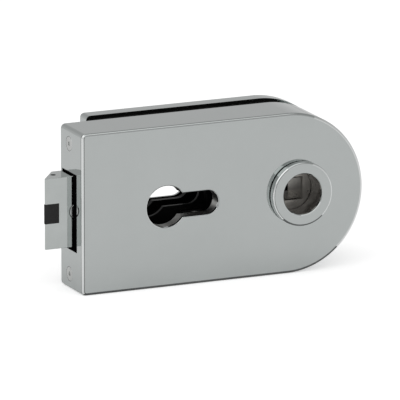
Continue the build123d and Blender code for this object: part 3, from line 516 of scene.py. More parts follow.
class Group(Network):
    """A new node group, with its inputs in given."""

    def __init__(self, name: str, kind: str, inputs: dict[str, tuple[str, object]],
                 outputs: dict[str, str]) -> None:
        """Make the group.

        Args:
            name: Name of the group.
            kind: Type of node tree.
            inputs: Type and default value of each input, by name.
            outputs: Type of each output, by name.
        """
        super().__init__(bpy.data.node_groups.new(name, kind))
        for label, (socket, default) in inputs.items():
            item = self.tree.interface.new_socket(label, in_out="INPUT", socket_type=socket)
            if default is not None:
                item.default_value = default
        for label, socket in outputs.items():
            self.tree.interface.new_socket(label, in_out="OUTPUT", socket_type=socket)
        self.given = self.tree.nodes.new("NodeGroupInput").outputs
        self.result = self.tree.nodes.new("NodeGroupOutput")

    def put_out(self, geometry: Socket) -> None:
        """End a geometry tree with plain geometry in the given material.

        Args:
            geometry: What the tree has made.
        """
        real = self.add("GeometryNodeRealizeInstances", Geometry=geometry).outputs[0]
        dressed = self.add("GeometryNodeSetMaterial", Geometry=real, Material=self.given["Material"])
        self.fill(self.result, Geometry=dressed.outputs[0])


def make_tone_group() -> None:
    """Make the group that gives a surface its slow, uneven tone."""
    net = Group("uneven tone", SHADER_TREE,
                {"Scale": (FLOAT, 40.0), "Dark": (COLOUR, (0.3, 0.3, 0.3, 1)),
                 "Light": (COLOUR, (0.5, 0.5, 0.5, 1))}, {"Color": COLOUR, "Value": FLOAT})
    finer, broad_share, start, end = 6.0, 0.75, 0.35, 0.65
    where = net.own_place()
    broad = net.noise(where, net.given["Scale"], detail=3.0, roughness=0.55)
    specks = net.noise(where, net.math("MULTIPLY", net.given["Scale"], finer), detail=2.0)
    mixed = net.math("ADD", net.math("MULTIPLY", broad, broad_share),
                     net.math("MULTIPLY", specks, 1 - broad_share))
    value = net.spread(mixed, 0.0, 1.0, start, end)
    mix = net.add("ShaderNodeMix", {"data_type": "RGBA"})
    factor, colour_a, colour_b, blended = mix.inputs[0], mix.inputs[6], mix.inputs[7], mix.outputs[2]
    for socket, source in ((factor, value), (colour_a, net.given["Dark"]), (colour_b, net.given["Light"])):
        net.feed(socket, source)
    net.fill(net.result, Color=blended, Value=value)


def make_scratch_group() -> None:
    """Make the group that gives a surface fine lines, drawn out one way, and a few stray scratches."""
    net = Group("fine scratches", SHADER_TREE, {"Stretch": (VECTOR, (1, 1, 1)), "Scale": (FLOAT, 2500.0)},
                {"Height": FLOAT, "Mask": FLOAT})
    wider, start, end = 0.12, 0.62, 0.7
    drawn = net.add("ShaderNodeVectorMath", {"operation": "MULTIPLY"})
    net.feed(drawn.inputs[0], net.own_place())
    net.feed(drawn.inputs[1], net.given["Stretch"])
    lines = net.noise(drawn.outputs[0], net.given["Scale"], detail=2.0)
    stray = net.noise(drawn.outputs[0], net.math("MULTIPLY", net.given["Scale"], wider), detail=1.0)
    mask = net.math("MULTIPLY", net.spread(stray, 0.0, 1.0, start, end), lines)
    net.fill(net.result, Height=lines, Mask=mask)


def make_grain_group() -> None:
    """Make the group that gives moulded and coated surfaces their grain."""
    net = Group("moulded grain", SHADER_TREE, {"Scale": (FLOAT, 3000.0)}, {"Height": FLOAT, "Value": FLOAT})
    coarser = 0.1
    where = net.own_place()
    cells = net.add("ShaderNodeTexVoronoi", {"feature": "SMOOTH_F1"}, Vector=where, Scale=net.given["Scale"])
    flow = net.noise(where, net.math("MULTIPLY", net.given["Scale"], coarser), detail=3.0)
    net.fill(net.result, Height=net.math("ADD", cells.outputs["Distance"], flow), Value=flow)


# Finishes

@dataclass(frozen=True)
class Finish:
    """What the finishes share.

    Attributes:
        name: Name of the material.
        dark: Darker colour of its uneven tone.
        light: Lighter colour.
        gloss: Lowest and highest roughness.
    """

    name: str
    dark: Colour
    light: Colour
    gloss: Range

    def build(self) -> bpy.types.Material:
        """Make the material, unless it is there already.

        Returns:
            The material.
        """
        made = bpy.data.materials.get(self.name)
        if not made:
            made = bpy.data.materials.new(self.name)
            made.use_nodes = True
            self.connect(Network(made.node_tree), made.node_tree.nodes["Principled BSDF"])
        return made

    def tone(self, net: Network, scale: float) -> bpy.types.bpy_prop_collection:
        """Return the outputs of its uneven tone."""
        return net.group("uneven tone", Scale=scale, Dark=(*self.dark, 1), Light=(*self.light, 1))

    def connect(self, net: Network, surface: bpy.types.Node) -> None:
        """Connect the finish to the surface shader of its material, as each kind of finish does."""
        raise NotImplementedError


@dataclass(frozen=True)
class Metal(Finish):
    """A bare metal finish.

    Attributes:
        grain: Direction of its fine lines.
        relief: Strength of the lines' bump.
        tone_scale: Scale of the uneven tone.
        line_scale: Scale of the fine lines.
    """

    grain: Grain = Grain.EVEN
    relief: float = 0.05
    tone_scale: float = 40.0
    line_scale: float = 2500.0

    def connect(self, net: Network, surface: bpy.types.Node) -> None:
        """Connect tone, fine lines and stray scratches.

        Args:
            net: Network of the material.
            surface: Its surface shader.
        """
        tone_share, line_depth = 0.5, 0.02
        tone = self.tone(net, self.tone_scale)
        lines = net.group("fine scratches", Stretch=self.grain.value, Scale=self.line_scale)
        worn = net.math("ADD", net.math("MULTIPLY", tone["Value"], tone_share), lines["Mask"])
        bump = net.add("ShaderNodeBump", Strength=self.relief, Distance=line_depth * MM,
                       Height=lines["Height"])
        net.fill(surface, Metallic=1.0, Base_Color=tone["Color"], Roughness=net.spread(worn, *self.gloss),
                 Normal=bump.outputs["Normal"])


@dataclass(frozen=True)
class Moulded(Finish):
    """A plastic, rubber or blackened finish.

    Attributes:
        relief: Strength of the grain's bump.
        grain_scale: Scale of the grain.
        specular: Strength of its reflection.
    """

    relief: float = 0.2
    grain_scale: float = 3000.0
    specular: float = 0.4

    def connect(self, net: Network, surface: bpy.types.Node) -> None:
        """Connect tone and grain.

        Args:
            net: Network of the material.
            surface: Its surface shader.
        """
        tone_scale, grain_depth = 90.0, 0.05
        tone = self.tone(net, tone_scale)
        grain = net.group("moulded grain", Scale=self.grain_scale)
        bump = net.add("ShaderNodeBump", Strength=self.relief, Distance=grain_depth * MM,
                       Height=grain["Height"])
        net.fill(surface, Specular_IOR_Level=self.specular, Base_Color=tone["Color"],
                 Roughness=net.spread(grain["Value"], *self.gloss), Normal=bump.outputs["Normal"])


def grey(value: float) -> Colour:
    """Return a neutral colour."""
    return (value, value, value)


POLISHED = Metal("polished cover steel", (0.590, 0.618, 0.612), (0.606, 0.634, 0.628), (0.05, 0.10),
                 Grain.ALONG_X, relief=0.02)
# A painted highlight and a painted shade for the covers' and rings' eased edges, standing for reflections of
# the lamp and of the floor's shadow.
EDGE_HIGHLIGHT = Metal("painted edge highlight steel", (0.86, 0.88, 0.875), (0.92, 0.94, 0.935), (0.06, 0.12), relief=0.02)
EDGE_SHADE = Metal("painted edge shade steel", (0.13, 0.137, 0.135), (0.18, 0.187, 0.185), (0.08, 0.14),
                  relief=0.02)
LATCH_STEEL = Metal("polished latch steel", (0.57, 0.60, 0.59), (0.62, 0.65, 0.64), (0.06, 0.14),
                    Grain.ALONG_Z)
SCREW_STEEL = Metal("bright screw steel", (0.57, 0.58, 0.57), (0.72, 0.73, 0.72), (0.14, 0.3))
CASE_ALLOY = Metal("cast case alloy", (0.45, 0.45, 0.43), (0.55, 0.55, 0.53), (0.3, 0.45), relief=0.5,
                   tone_scale=120.0, line_scale=1500.0)
# Blackened steel, partly its own colour and partly painted shade: the near-black colour and weak reflection
# keep the lid, rear plate and levers as dark as the shade deep in the keyhole.
CLAMP_STEEL_AND_SHADE = Moulded("blackened clamping steel, painted shade", grey(0.004), grey(0.009), (0.3, 0.45), relief=0.15,
                      grain_scale=2200.0, specular=0.1)
PLATE_STEEL = Metal("plated sheet steel", (0.46, 0.46, 0.44), (0.58, 0.58, 0.55), (0.22, 0.4), Grain.ALONG_X,
                    relief=0.15)
NUT_STEEL = Metal("sintered nut steel", (0.42, 0.40, 0.37), (0.54, 0.52, 0.48), (0.26, 0.42), relief=0.2)
PIN_STEEL = Metal("turned pin steel", grey(0.60), grey(0.74), (0.15, 0.3), relief=0.1)
SPRING_STEEL = Metal("drawn spring steel", (0.31, 0.31, 0.32), (0.47, 0.47, 0.49), (0.25, 0.4), relief=0.1)
# Black plastic, partly its own colour and partly painted shade: the near-zero colour and lack of reflection
# make the latch slit and the spacers in the keyhole as black as their shade.
GUIDE_PLASTIC_AND_SHADE = Moulded("black guide plastic, painted shade", grey(0.0015), grey(0.003), (0.6, 0.75), specular=0.0)
BUSH_PLASTIC = Moulded("dark bush plastic", (0.042, 0.037, 0.032), (0.064, 0.057, 0.050), (0.16, 0.28),
                       relief=0.1, specular=1.0)
INSERT_PLASTIC = Moulded("satin insert plastic", grey(0.017), grey(0.024), (0.45, 0.6), specular=0.25)
LINER_RUBBER = Moulded("black liner rubber", grey(0.007), grey(0.014), (0.65, 0.85), relief=0.35,
                       grain_scale=1800.0, specular=0.25)

# Nodes that stay as they come from the frame, by their finish
CARRIED: dict[Finish, tuple[str, ...]] = {
    CASE_ALLOY: ("lock_case",),
    CLAMP_STEEL_AND_SHADE: ("case_lid", "rear_plate", "change_lever", "deadlock_lever", "insert_pin"),
    PLATE_STEEL: ("latch_shank", "drive_slide", "front_ring_nut", "rear_ring_nut"),
    NUT_STEEL: ("follower",),
    PIN_STEEL: ("drive_pin", "slide_guide_pins", "latch_spring_rod", "return_spring_rod", "lever_pivot",
                "lever_spacer", "deadlock_pivot"),
    GUIDE_PLASTIC_AND_SHADE: ("cylinder_spacer", "spindle_spacer", "clamp_sleeves"),
    LINER_RUBBER: ("front_gasket", "rear_gasket"),
}


def box_mm(node: str) -> tuple[Vector, Vector]:
    """Return a node's lowest and highest corners."""
    low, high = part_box(node)
    return Vector(low) / MM, Vector(high) / MM


def hand_over(piece: bpy.types.Object, finish: Finish, body: str, node: str) -> None:
    """Dress a finished piece and put it in the place of a node.

    Args:
        piece: The finished object.
        finish: Its finish.
        body: Body that it rides on.
        node: Node that it stands for.
    """
    piece.data.materials.clear()
    piece.data.materials.append(finish.build())
    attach(piece, body)
    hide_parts(node)
    LOG.info("%s: %d faces", piece.name, len(piece.data.polygons))


# An eased edge leans from 0, where it meets the wall, to 1, where it meets the piece's face. Light is
# painted on the parts that lean within the first range below: painted shade where more than the next share
# of their direction across points down, standing for the floor's shadow seen in them. Where more than
# LEFTWARD of it points left, they get a painted highlight within the lean range beside LEFTWARD and painted
# shade else, and where more than RIGHTWARD of it points right, a painted highlight above the lean beside
# RIGHTWARD.
PAINTED_LEAN = (0.05, 0.998)
SHADE_DOWN = 0.75
LEFTWARD, LEFT_HIGHLIGHT = 0.5, (0.3, 0.95)
RIGHTWARD, RIGHT_HIGHLIGHT_FROM = 0.35, 0.45


def paint_edge_light(piece: bpy.types.Object, face: float, reach: float) -> None:
    """Paint highlight and shade bands onto a polished piece's eased edges by their direction, apart from
    those in the bore.

    Args:
        piece: A dressed piece.
        face: Depth of its face.
        reach: Depth of the edges behind that face.
    """
    # Slots: the piece's own finish, then the painted highlight, then the painted shade.
    plain, bright, painted_shade = range(3)
    for finish in (EDGE_HIGHLIGHT, EDGE_SHADE):
        piece.data.materials.append(finish.build())
    for polygon in piece.data.polygons:
        side, lean, rise = polygon.normal.x, abs(polygon.normal.y), polygon.normal.z
        across = math.hypot(side, rise)
        from_axis = math.hypot(polygon.center.x, polygon.center.z) / MM
        behind = abs(polygon.center.y / MM - face)
        if from_axis < NECK_HOLE_RADIUS or behind > reach or not PAINTED_LEAN[0] < lean < PAINTED_LEAN[1]:
            continue
        if rise < -SHADE_DOWN * across:
            look = painted_shade
        elif side < -LEFTWARD * across:
            look = bright if LEFT_HIGHLIGHT[0] < lean < LEFT_HIGHLIGHT[1] else painted_shade
        else:
            look = bright if side > RIGHTWARD * across and lean > RIGHT_HIGHLIGHT_FROM else plain
        polygon.material_index = look


# Covers

@dataclass
class Cover:
    """A polished D-shaped cover with a closed face and an open rim.

    Attributes:
        node: Node that it stands for.
        left: X of its straight end.
        face: Depth of its face.
        rim: Depth of its rim.
        edge_steps: Number of stretches across its rounded edge.
        cutout_steps: Number of stretches across the cut-out's rounded edge.
    """

    node: str
    left: float
    face: float
    rim: float
    edge_steps: int = 6
    cutout_steps: int = 4

    def depth(self, inward: float) -> float:
        """Return the depth that lies inward of the face."""
        return self.face + math.copysign(inward, self.rim - self.face)

    def shell(self) -> bpy.types.Object:
        """Make the shell, before the holes in its walls are cut.

        Returns:
            The object.
        """
        former = Former()
        outer = [former.loop(d_outline(self.left, 0), self.rim)]
        outer += [former.loop(d_outline(self.left, inset), self.depth(inward))
                  for inset, inward in quarter(COVER_EDGE, self.edge_steps)]
        former.stack(outer)
        cutout = [former.loop(cutout_outline(grow), self.depth(inward))
                  for inward, grow in quarter(CUTOUT_EDGE, self.cutout_steps)]
        cutout.append(former.loop(cutout_outline(0), self.depth(COVER_WALL)))
        former.stack(cutout)
        neck = [former.loop(circle(NECK_HOLE_RADIUS, HOLE_STEPS), self.depth(inward))
                for inward in (0, COVER_WALL)]
        former.stack(neck)
        inner = [former.loop(d_outline(self.left, COVER_WALL), depth)
                 for depth in (self.depth(COVER_WALL), self.rim)]
        former.stack([*inner, outer[0]])
        former.cap([outer[-1], cutout[0], neck[0]])
        former.cap([inner[0], cutout[-1], neck[-1]])
        return former.finish(f"{self.node}_model")

    def build(self, tools: Sequence[bpy.types.Object]) -> None:
        """Make the cover with the holes in its walls.

        Args:
            tools: What is cut out of the walls.
        """
        cover = smooth(cut(self.shell(), tools))
        hand_over(cover, POLISHED, "case", self.node)
        # Paint highlight and shade onto the eased edges.
        paint_edge_light(cover, self.face, COVER_EDGE)


@dataclass
class Covers:
    """The two polished covers.

    Attributes:
        gap: Room round the latch guide.
    """

    gap: float = 0.1

    def build(self) -> None:
        """Make the cover in front of the glass and the one behind it."""
        low, high = box_mm("front_cover")
        guide_low, guide_high = box_mm("latch_guide")
        mouth = block("guide hole", (low.x - THROUGH, guide_low.y - self.gap, guide_low.z - self.gap),
                      (low.x + 2 * COVER_WALL, guide_high.y + self.gap, guide_high.z + self.gap))
        seats = SIDE_SCREWS.seats(COVER_WALL) + CYLINDER_SCREW.seats(COVER_WALL + THROUGH)
        Cover("front_cover", low.x, low.y, high.y).build([mouth, *seats])
        low, high = box_mm("rear_cover")
        Cover("rear_cover", low.x, high.y, low.y).build(REAR_COVER_SCREWS.seats(COVER_WALL))


# Handle rings and bushes

@dataclass
class HandleFittings:
    """The raised rings and the bushes of the two handles.

    Attributes:
        lip: Thickness of the ring's lip in front of the bush.
        edge: Radius of the ring's outer edge.
        edge_steps: Number of stretches across that edge.
        groove_width: Width of the shadow groove at the ring's foot.
        groove_depth: Its depth.
        neck_wall: Wall of the neck round the bush.
        ease: Small chamfers.
    """

    lip: float = 1.5
    edge: float = 0.8
    edge_steps: int = 6
    groove_width: float = 0.7
    groove_depth: float = 1.3
    neck_wall: float = 1.5
    ease: float = 0.15

    def turned_piece(self, node: str, profile: Sequence[Point]) -> bpy.types.Object:
        """Turn a profile round the handle axis.

        Args:
            node: Node that the piece stands for.
            profile: Radius and depth of its corners.

        Returns:
            The object.
        """
        former = Former()
        former.lathe(profile)
        return smooth(former.finish(f"{node}_model"))

    def ring(self, node: str, foot: float) -> None:
        """Make a ring.

        Args:
            node: Node that it stands for.
            foot: Depth of the cover's face that it stands on.
        """
        low, high = box_mm(node)
        face, neck, outward = (low.y, high.y, -1.0) if foot - low.y < high.y - foot else (high.y, low.y, 1.0)
        height = abs(face - foot)
        radius = high.x
        groove_radius = radius - self.groove_depth
        neck_radius = BUSH_RADIUS + self.neck_wall
        edge = arc((radius - self.edge, height - self.edge), self.edge, 90, 0, self.edge_steps)
        shape = [(BORE_RADIUS, height - self.lip), (BORE_RADIUS, height - 2 * self.ease),
                 (BORE_RADIUS + 2 * self.ease, height), *edge,
                 (radius, self.groove_width + self.ease), (radius - self.ease, self.groove_width),
                 (groove_radius, self.groove_width), (groove_radius, 0.0), (neck_radius, 0.0)]
        profile = [(across, foot + outward * up) for across, up in shape]
        profile += [(neck_radius, neck), (BUSH_RADIUS, neck), (BUSH_RADIUS, face - outward * self.lip)]
        ring = self.turned_piece(node, profile)
        hand_over(ring, POLISHED, "case", node)
        # Paint highlight and shade onto the eased edges.
        paint_edge_light(ring, face, self.edge)

    def bush(self, node: str) -> None:
        """Make the sleeve inside a ring.

        Args:
            node: Node that it stands for.
        """
        low, high = box_mm(node)
        ease = self.ease
        profile = [(BORE_RADIUS, low.y + ease), (BORE_RADIUS + ease, low.y), (BUSH_RADIUS - ease, low.y),
                   (BUSH_RADIUS, low.y + ease), (BUSH_RADIUS, high.y - ease), (BUSH_RADIUS - ease, high.y),
                   (BORE_RADIUS + ease, high.y), (BORE_RADIUS, high.y - ease)]
        hand_over(self.turned_piece(node, profile), BUSH_PLASTIC, "case", node)

    def build(self) -> None:
        """Make both rings and both bushes."""
        self.ring("front_handle_ring", box_mm("front_cover")[0].y)
        self.ring("rear_handle_ring", box_mm("rear_cover")[1].y)
        self.bush("front_bush")
        self.bush("rear_bush")


# Latch

@dataclass
class Latch:
    """The bevelled bolt, its damping insert and the guide round it.

    Attributes:
        bevel: Length of the bolt's bevel.
        tip_flat: Flat left at its tip.
        edge: Rounding of the bolt's edges.
        edge_steps: Number of faces across that rounding.
        insert_width: Width of the insert in the bolt's front face.
        insert_edge: Rounding of the insert's edges.
        insert_tongue: Length and thickness of the insert's tongue in the bolt.
        tongue_reach: How far the shank's tongue reaches past the case into the bolt.
        tongue_half: Half the height of that tongue's slot.
        tongue_depth: Depths between which the slot lies.
        screw_room: Room under the head of the latch screw.
        guide_gap: Room between the bolt and the guide.
        guide_edge: Rounding of the guide's edges.
        small_steps: Number of faces across the insert's and the guide's roundings.
    """

    bevel: float = 7.85
    tip_flat: float = 0.8
    edge: float = 0.3
    edge_steps: int = 3
    insert_width: float = 6.5
    insert_edge: float = 0.25
    insert_tongue: tuple[float, float] = (1.9, 5.2)
    tongue_reach: float = 3.1
    tongue_half: float = 6.1
    tongue_depth: Range = (11.9, 15.1)
    screw_room: float = 0.02
    guide_gap: float = 0.15
    guide_edge: float = 0.25
    small_steps: int = 2

    def wedge(self, name: str, tip: float, end: float, half: float) -> bpy.types.Object:
        """Return the bolt's section from a tip to an end, raised both ways.

        Args:
            name: Name of the object.
            tip: X of the tip.
            end: X of the other end, where the bevel is cut off.
            half: Half its height.

        Returns:
            The object, with sharp edges.
        """
        low, high = box_mm("latch_bolt")
        slope = (high.y - low.y - self.tip_flat) / self.bevel
        top = min(high.y, low.y + self.tip_flat + (end - tip) * slope)
        section = [(tip, low.y), (end, low.y), (end, top)]
        if end > tip + self.bevel:
            section.append((tip + self.bevel, high.y))
        section.append((tip, low.y + self.tip_flat))
        former = Former()
        former.prism([Vector((x, y, -half)) for x, y in section], Vector((0, 0, 2 * half)))
        return former.finish(name)

    def bolt(self) -> None:
        """Make the bolt's head."""
        low, high = box_mm("latch_bolt")
        insert_low, insert_high = box_mm("latch_insert")
        pin_low, pin_high = box_mm("insert_pin")
        case_end = box_mm("front_cover")[0].x
        bolt = ease_edges(self.wedge("latch_bolt_model", low.x, high.x, high.z), self.edge, self.edge_steps)
        slot_end = low.x + self.insert_width
        pin = (pin_low + pin_high) / 2
        pin_radius = (pin_high.x - pin_low.x) / 2
        length, thickness = self.insert_tongue
        tools = [
            block("insert slot", (low.x - THROUGH, low.y - THROUGH, insert_low.z),
                  (slot_end, high.y + THROUGH, insert_high.z)),
            block("insert tongue slot", (slot_end - THROUGH, pin.y - thickness / 2, insert_low.z),
                  (slot_end + length, pin.y + thickness / 2, insert_high.z)),
            block("shank slot", (case_end - self.tongue_reach, self.tongue_depth[0], -self.tongue_half),
                  (high.x + THROUGH, self.tongue_depth[1], self.tongue_half)),
            round_tool(Vector((0, 0, 1)), Vector((pin.x, pin.y, -high.z - THROUGH)),
                       (pin_radius, pin_radius), 2 * (high.z + THROUGH)),
            *LATCH_SCREW.seats(LATCH_SCREW.head_height + self.screw_room),
        ]
        hand_over(smooth(cut(bolt, tools)), LATCH_STEEL, "latch", "latch_bolt")

    def insert(self) -> None:
        """Make the damping block in the bolt's tip."""
        low, high = box_mm("latch_insert")
        end = box_mm("latch_bolt")[0].x + self.insert_width
        insert = ease_edges(self.wedge("latch_insert_model", low.x, end, high.z), self.insert_edge,
                            self.small_steps)
        hand_over(smooth(insert), INSERT_PLASTIC, "latch", "latch_insert")

    def guide(self) -> None:
        """Make the black frame in which the bolt slides."""
        low, high = box_mm("latch_guide")
        bolt_low, bolt_high = box_mm("latch_bolt")
        guide = ease_edges(block("latch_guide_model", low, high), self.guide_edge, self.small_steps)
        half = bolt_high.z + self.guide_gap
        mouth = block("guide mouth", (low.x - THROUGH, bolt_low.y - self.guide_gap, -half),
                      (high.x + THROUGH, bolt_high.y + self.guide_gap, half))
        hand_over(smooth(cut(guide, [mouth])), GUIDE_PLASTIC_AND_SHADE, "case", "latch_guide")

    def build(self) -> None:
        """Make the three pieces."""
        self.bolt()
        self.insert()
        self.guide()


# Screws

# Chamfer at a screw head's face, and the straight rim under it
HEAD_CHAMFER = 0.06
HEAD_RIM = 0.35


def grow(name: str, corners: Sequence[Vector], tree: str, values: dict[str, object]) -> bpy.types.Object:
    """Return the piece that a geometry tree makes.

    Args:
        name: Name of the piece.
        corners: Corners from which the tree starts, if it needs any.
        tree: Name of the tree.
        values: Values of the tree's inputs, by name.

    Returns:
        The object, with a plain mesh.
    """
    data = bpy.data.meshes.new(name)
    data.from_pydata([corner * MM for corner in corners], [], [])
    piece = place(name, data)
    modifier = piece.modifiers.new(tree, "NODES")
    modifier.node_group = bpy.data.node_groups[tree]
    for item in modifier.node_group.interface.items_tree:
        if item.in_out == "INPUT" and item.name in values:
            modifier[item.identifier] = values[item.name]
    return settle(piece)


def make_screw_tree() -> None:
    """Make the geometry tree that puts a threaded screw on each corner of a mesh."""
    lengths = {"Head Radius": 3.0, "Neck Radius": 2.0, "Head Height": 2.0, "Shank Radius": 2.0,
               "Length": 10.0, "Socket Radius": 1.0, "Socket Depth": 1.0, "Thread Depth": 0.2}
    inputs = {name: (FLOAT, length * MM) for name, length in lengths.items()}
    net = Group("screw on each place", GEOMETRY_TREE,
                {"Places": (GEOMETRY, None), **inputs, "Thread Turns": (FLOAT, 8.0),
                 "Turn": (VECTOR, (0, 0, 0)), "Material": (MATERIAL, None)}, {"Geometry": GEOMETRY})
    given = net.given
    round_sides, socket_sides, ridge_sides, thread_steps = 64, 6, 4, 24
    point_share, tip_share, thread_share, sunk_share = 0.4, 0.7, 0.96, 0.15
    chamfer, rim = HEAD_CHAMFER * MM, HEAD_RIM * MM

    def cone(foot: object, top: object, height: object, lift: object, sides: int = round_sides) -> Socket:
        """Return an upright cone from its radii at foot and top, with its foot at the height lift."""
        made = net.add("GeometryNodeMeshCone", Vertices=sides, Radius_Bottom=foot, Radius_Top=top,
                       Depth=height)
        return net.raised(made.outputs["Mesh"], lift)

    def carve(kind: str, base: Socket | None, parts: Sequence[Socket]) -> Socket:
        """Join parts to one another, or cut them out of a base.

        Args:
            kind: Kind of operation.
            base: What they are cut out of, if anything.
            parts: The parts.

        Returns:
            The output that holds the result.
        """
        node = net.add("GeometryNodeMeshBoolean", {"operation": kind, "solver": "EXACT"})
        if base:
            net.feed(node.inputs["Mesh 1"], base)
        for part in parts:
            net.feed(node.inputs["Mesh 2"], part)
        return node.outputs["Mesh"]

    head, head_height, socket = given["Head Radius"], given["Head Height"], given["Socket Radius"]
    core = net.math("SUBTRACT", given["Shank Radius"], given["Thread Depth"])
    point = net.math("MULTIPLY", given["Shank Radius"], point_share)
    point_start = net.math("SUBTRACT", given["Length"], point)
    straight = net.math("SUBTRACT", net.math("SUBTRACT", given["Length"], head_height), point)
    body = carve("UNION", None, [
        cone(net.math("SUBTRACT", head, chamfer), head, chamfer, 0.0),
        cone(head, head, rim - chamfer, chamfer),
        cone(head, given["Neck Radius"], net.math("SUBTRACT", head_height, rim), rim),
        cone(core, core, straight, head_height),
        cone(core, net.math("MULTIPLY", core, tip_share), point, point_start),
    ])
    screw = carve("DIFFERENCE", body, [
        cone(socket, socket, given["Socket Depth"], 0.0, socket_sides),
        cone(socket, socket, THROUGH * MM, -THROUGH * MM, socket_sides),
    ])
    ridge_path = net.math("SUBTRACT", core, net.math("MULTIPLY", given["Thread Depth"], sunk_share))
    helix = net.add("GeometryNodeCurveSpiral", Resolution=thread_steps, Rotations=given["Thread Turns"],
                    Start_Radius=ridge_path, End_Radius=ridge_path,
                    Height=net.math("MULTIPLY", straight, thread_share))
    ridge = net.add("GeometryNodeCurvePrimitiveCircle", Resolution=ridge_sides, Radius=given["Thread Depth"])
    thread = net.add("GeometryNodeCurveToMesh", Curve=helix.outputs["Curve"],
                     Profile_Curve=ridge.outputs["Curve"], Fill_Caps=True)
    join = net.add("GeometryNodeJoinGeometry")
    net.feed(join.inputs[0], screw)
    net.feed(join.inputs[0], net.raised(thread.outputs["Mesh"],
                                        net.math("ADD", head_height, given["Thread Depth"])))
    turn = net.add("FunctionNodeEulerToRotation", Euler=given["Turn"]).outputs[0]
    net.put_out(net.add("GeometryNodeInstanceOnPoints", Points=given["Places"], Instance=join.outputs[0],
                        Rotation=turn).outputs[0])


@dataclass
class ScrewSet:
    """Equal screws of one node; their places come from the node's box.

    Attributes:
        node: Node that they stand for.
        facing: Direction of the shanks.
        head: Radius of the head's seat.
        shank: Radius of the shank.
        head_height: Height of a straight head, or 0 for a countersunk one.
        pitch: Pitch of the thread.
        socket_share: Radius of the hexagon socket as a share of the shank's.
        socket_depth: Its depth.
        thread_share: Depth of the thread as a share of the shank's radius.
        seam: Width of the visible seam round a head.
        lap: How far the two tools of a countersunk seat overlap.
        body: Body that they ride on.
        places: Middles of the heads' faces, where the box can't give them.
    """

    node: str
    facing: Facing
    head: float
    shank: float
    head_height: float = 0.0
    pitch: float = 0.7
    socket_share: float = 0.62
    socket_depth: float = 0.8
    thread_share: float = 0.12
    seam: float = 0.12
    lap: float = 0.01
    body: str = "case"
    places: Sequence[Vector] = ()

    def countersunk(self) -> bool:
        """Return whether the head is a cone."""
        return self.head_height == 0

    def height(self) -> float:
        """Return the height of the head."""
        return self.head - self.shank if self.countersunk() else self.head_height

    def heads(self) -> Sequence[Vector]:
        """Return the middle of each head's face.

        Returns:
            The places given, or else one or two places each way, as far as the node's box has room.
        """
        if self.places:
            return self.places
        low, high = box_mm(self.node)
        choices = []
        room_for_two = 2.2 * self.head
        for along, first, last in zip(self.facing.axis, low, high):
            if along:
                choices.append([first if along > 0 else last])
            elif last - first > room_for_two:
                choices.append([first + self.head, last - self.head])
            else:
                choices.append([(first + last) / 2])
        return [Vector((x, y, z)) for x in choices[0] for y in choices[1] for z in choices[2]]

    def length(self) -> float:
        """Return the length of a screw with its head."""
        low, high = box_mm(self.node)
        return abs((high - low).dot(self.facing.axis))

    def seats(self, depth: float) -> list[bpy.types.Object]:
        """Return the tools that cut the heads' seats: plain holes, or cones with a straight rim.

        Args:
            depth: How far a seat reaches past the head's face.

        Returns:
            The tools of all the screws.
        """
        axis, rim, tools = self.facing.axis, (self.head, self.head), []
        for head in self.heads():
            if not self.countersunk():
                tools.append(round_tool(axis, head - axis * THROUGH, rim, depth + THROUGH))
                continue
            slope = (self.head - self.shank) / (self.height() - HEAD_RIM)
            foot, end = head + axis * (HEAD_RIM - self.lap), self.head - (depth - HEAD_RIM) * slope
            tools.append(round_tool(axis, head - axis * HEAD_RIM, rim, 2 * HEAD_RIM))
            tools.append(round_tool(axis, foot, (self.head, end), depth - HEAD_RIM + 2 * self.lap))
        return tools

    def build(self) -> None:
        """Make the screws and put them in the place of their node."""
        edge = self.head - self.seam
        lengths = {"Head Radius": edge, "Neck Radius": self.shank if self.countersunk() else edge,
                   "Head Height": self.height(), "Shank Radius": self.shank, "Length": self.length(),
                   "Socket Radius": self.shank * self.socket_share, "Socket Depth": self.socket_depth,
                   "Thread Depth": self.thread_share * self.shank}
        values = {name: length * MM for name, length in lengths.items()}
        values |= {"Thread Turns": (self.length() - self.height()) / self.pitch,
                   "Turn": self.facing.turn, "Material": SCREW_STEEL.build()}
        screws = smooth(grow(f"{self.node}_model", self.heads(), "screw on each place", values))
        hand_over(screws, SCREW_STEEL, self.body, self.node)


def lid_screw_heads(head: float, end_turn: float) -> list[Vector]:
    """Return the places of the lid's screws: two near the latch, two on the round end.

    Args:
        head: Radius of their heads.
        end_turn: Angle, in degrees, at which those on the round end stand.

    Returns:
        The middles of the heads' faces.
    """
    low, high = box_mm("lid_screws")
    reach, turn = high.z - head, math.radians(end_turn)
    places = [(low.x + head, reach), (ARC_X + reach * math.cos(turn), reach * math.sin(turn))]
    return [Vector((x, high.y, sign * z)) for x, z in places for sign in (1, -1)]


LID_HEAD = 2.5
SIDE_SCREWS = ScrewSet("side_screws", Facing.PLUS_X, head=3.3, shank=1.75, socket_depth=0.5)
REAR_COVER_SCREWS = ScrewSet("rear_cover_screws", Facing.PLUS_X, head=2.5, shank=1.25, pitch=0.45)
CLAMP_SCREWS = ScrewSet("clamp_screws", Facing.MINUS_Y, head=4.7, shank=2.5, pitch=0.8)
LID_SCREWS = ScrewSet("lid_screws", Facing.MINUS_Y, head=LID_HEAD, shank=1.25, pitch=0.45,
                      places=lid_screw_heads(LID_HEAD, end_turn=35))
LATCH_SCREW = ScrewSet("latch_screw", Facing.PLUS_Y, head=3.5, shank=2.0, head_height=2.0, seam=0.4,
                       body="latch")
CYLINDER_SCREW = ScrewSet("cylinder_screw", Facing.PLUS_Z, head=4.6, shank=2.5, head_height=2.6,
                          pitch=0.8, socket_share=1.1)
SCREWS = (SIDE_SCREWS, REAR_COVER_SCREWS, CLAMP_SCREWS, LID_SCREWS, LATCH_SCREW, CYLINDER_SCREW)


# Springs

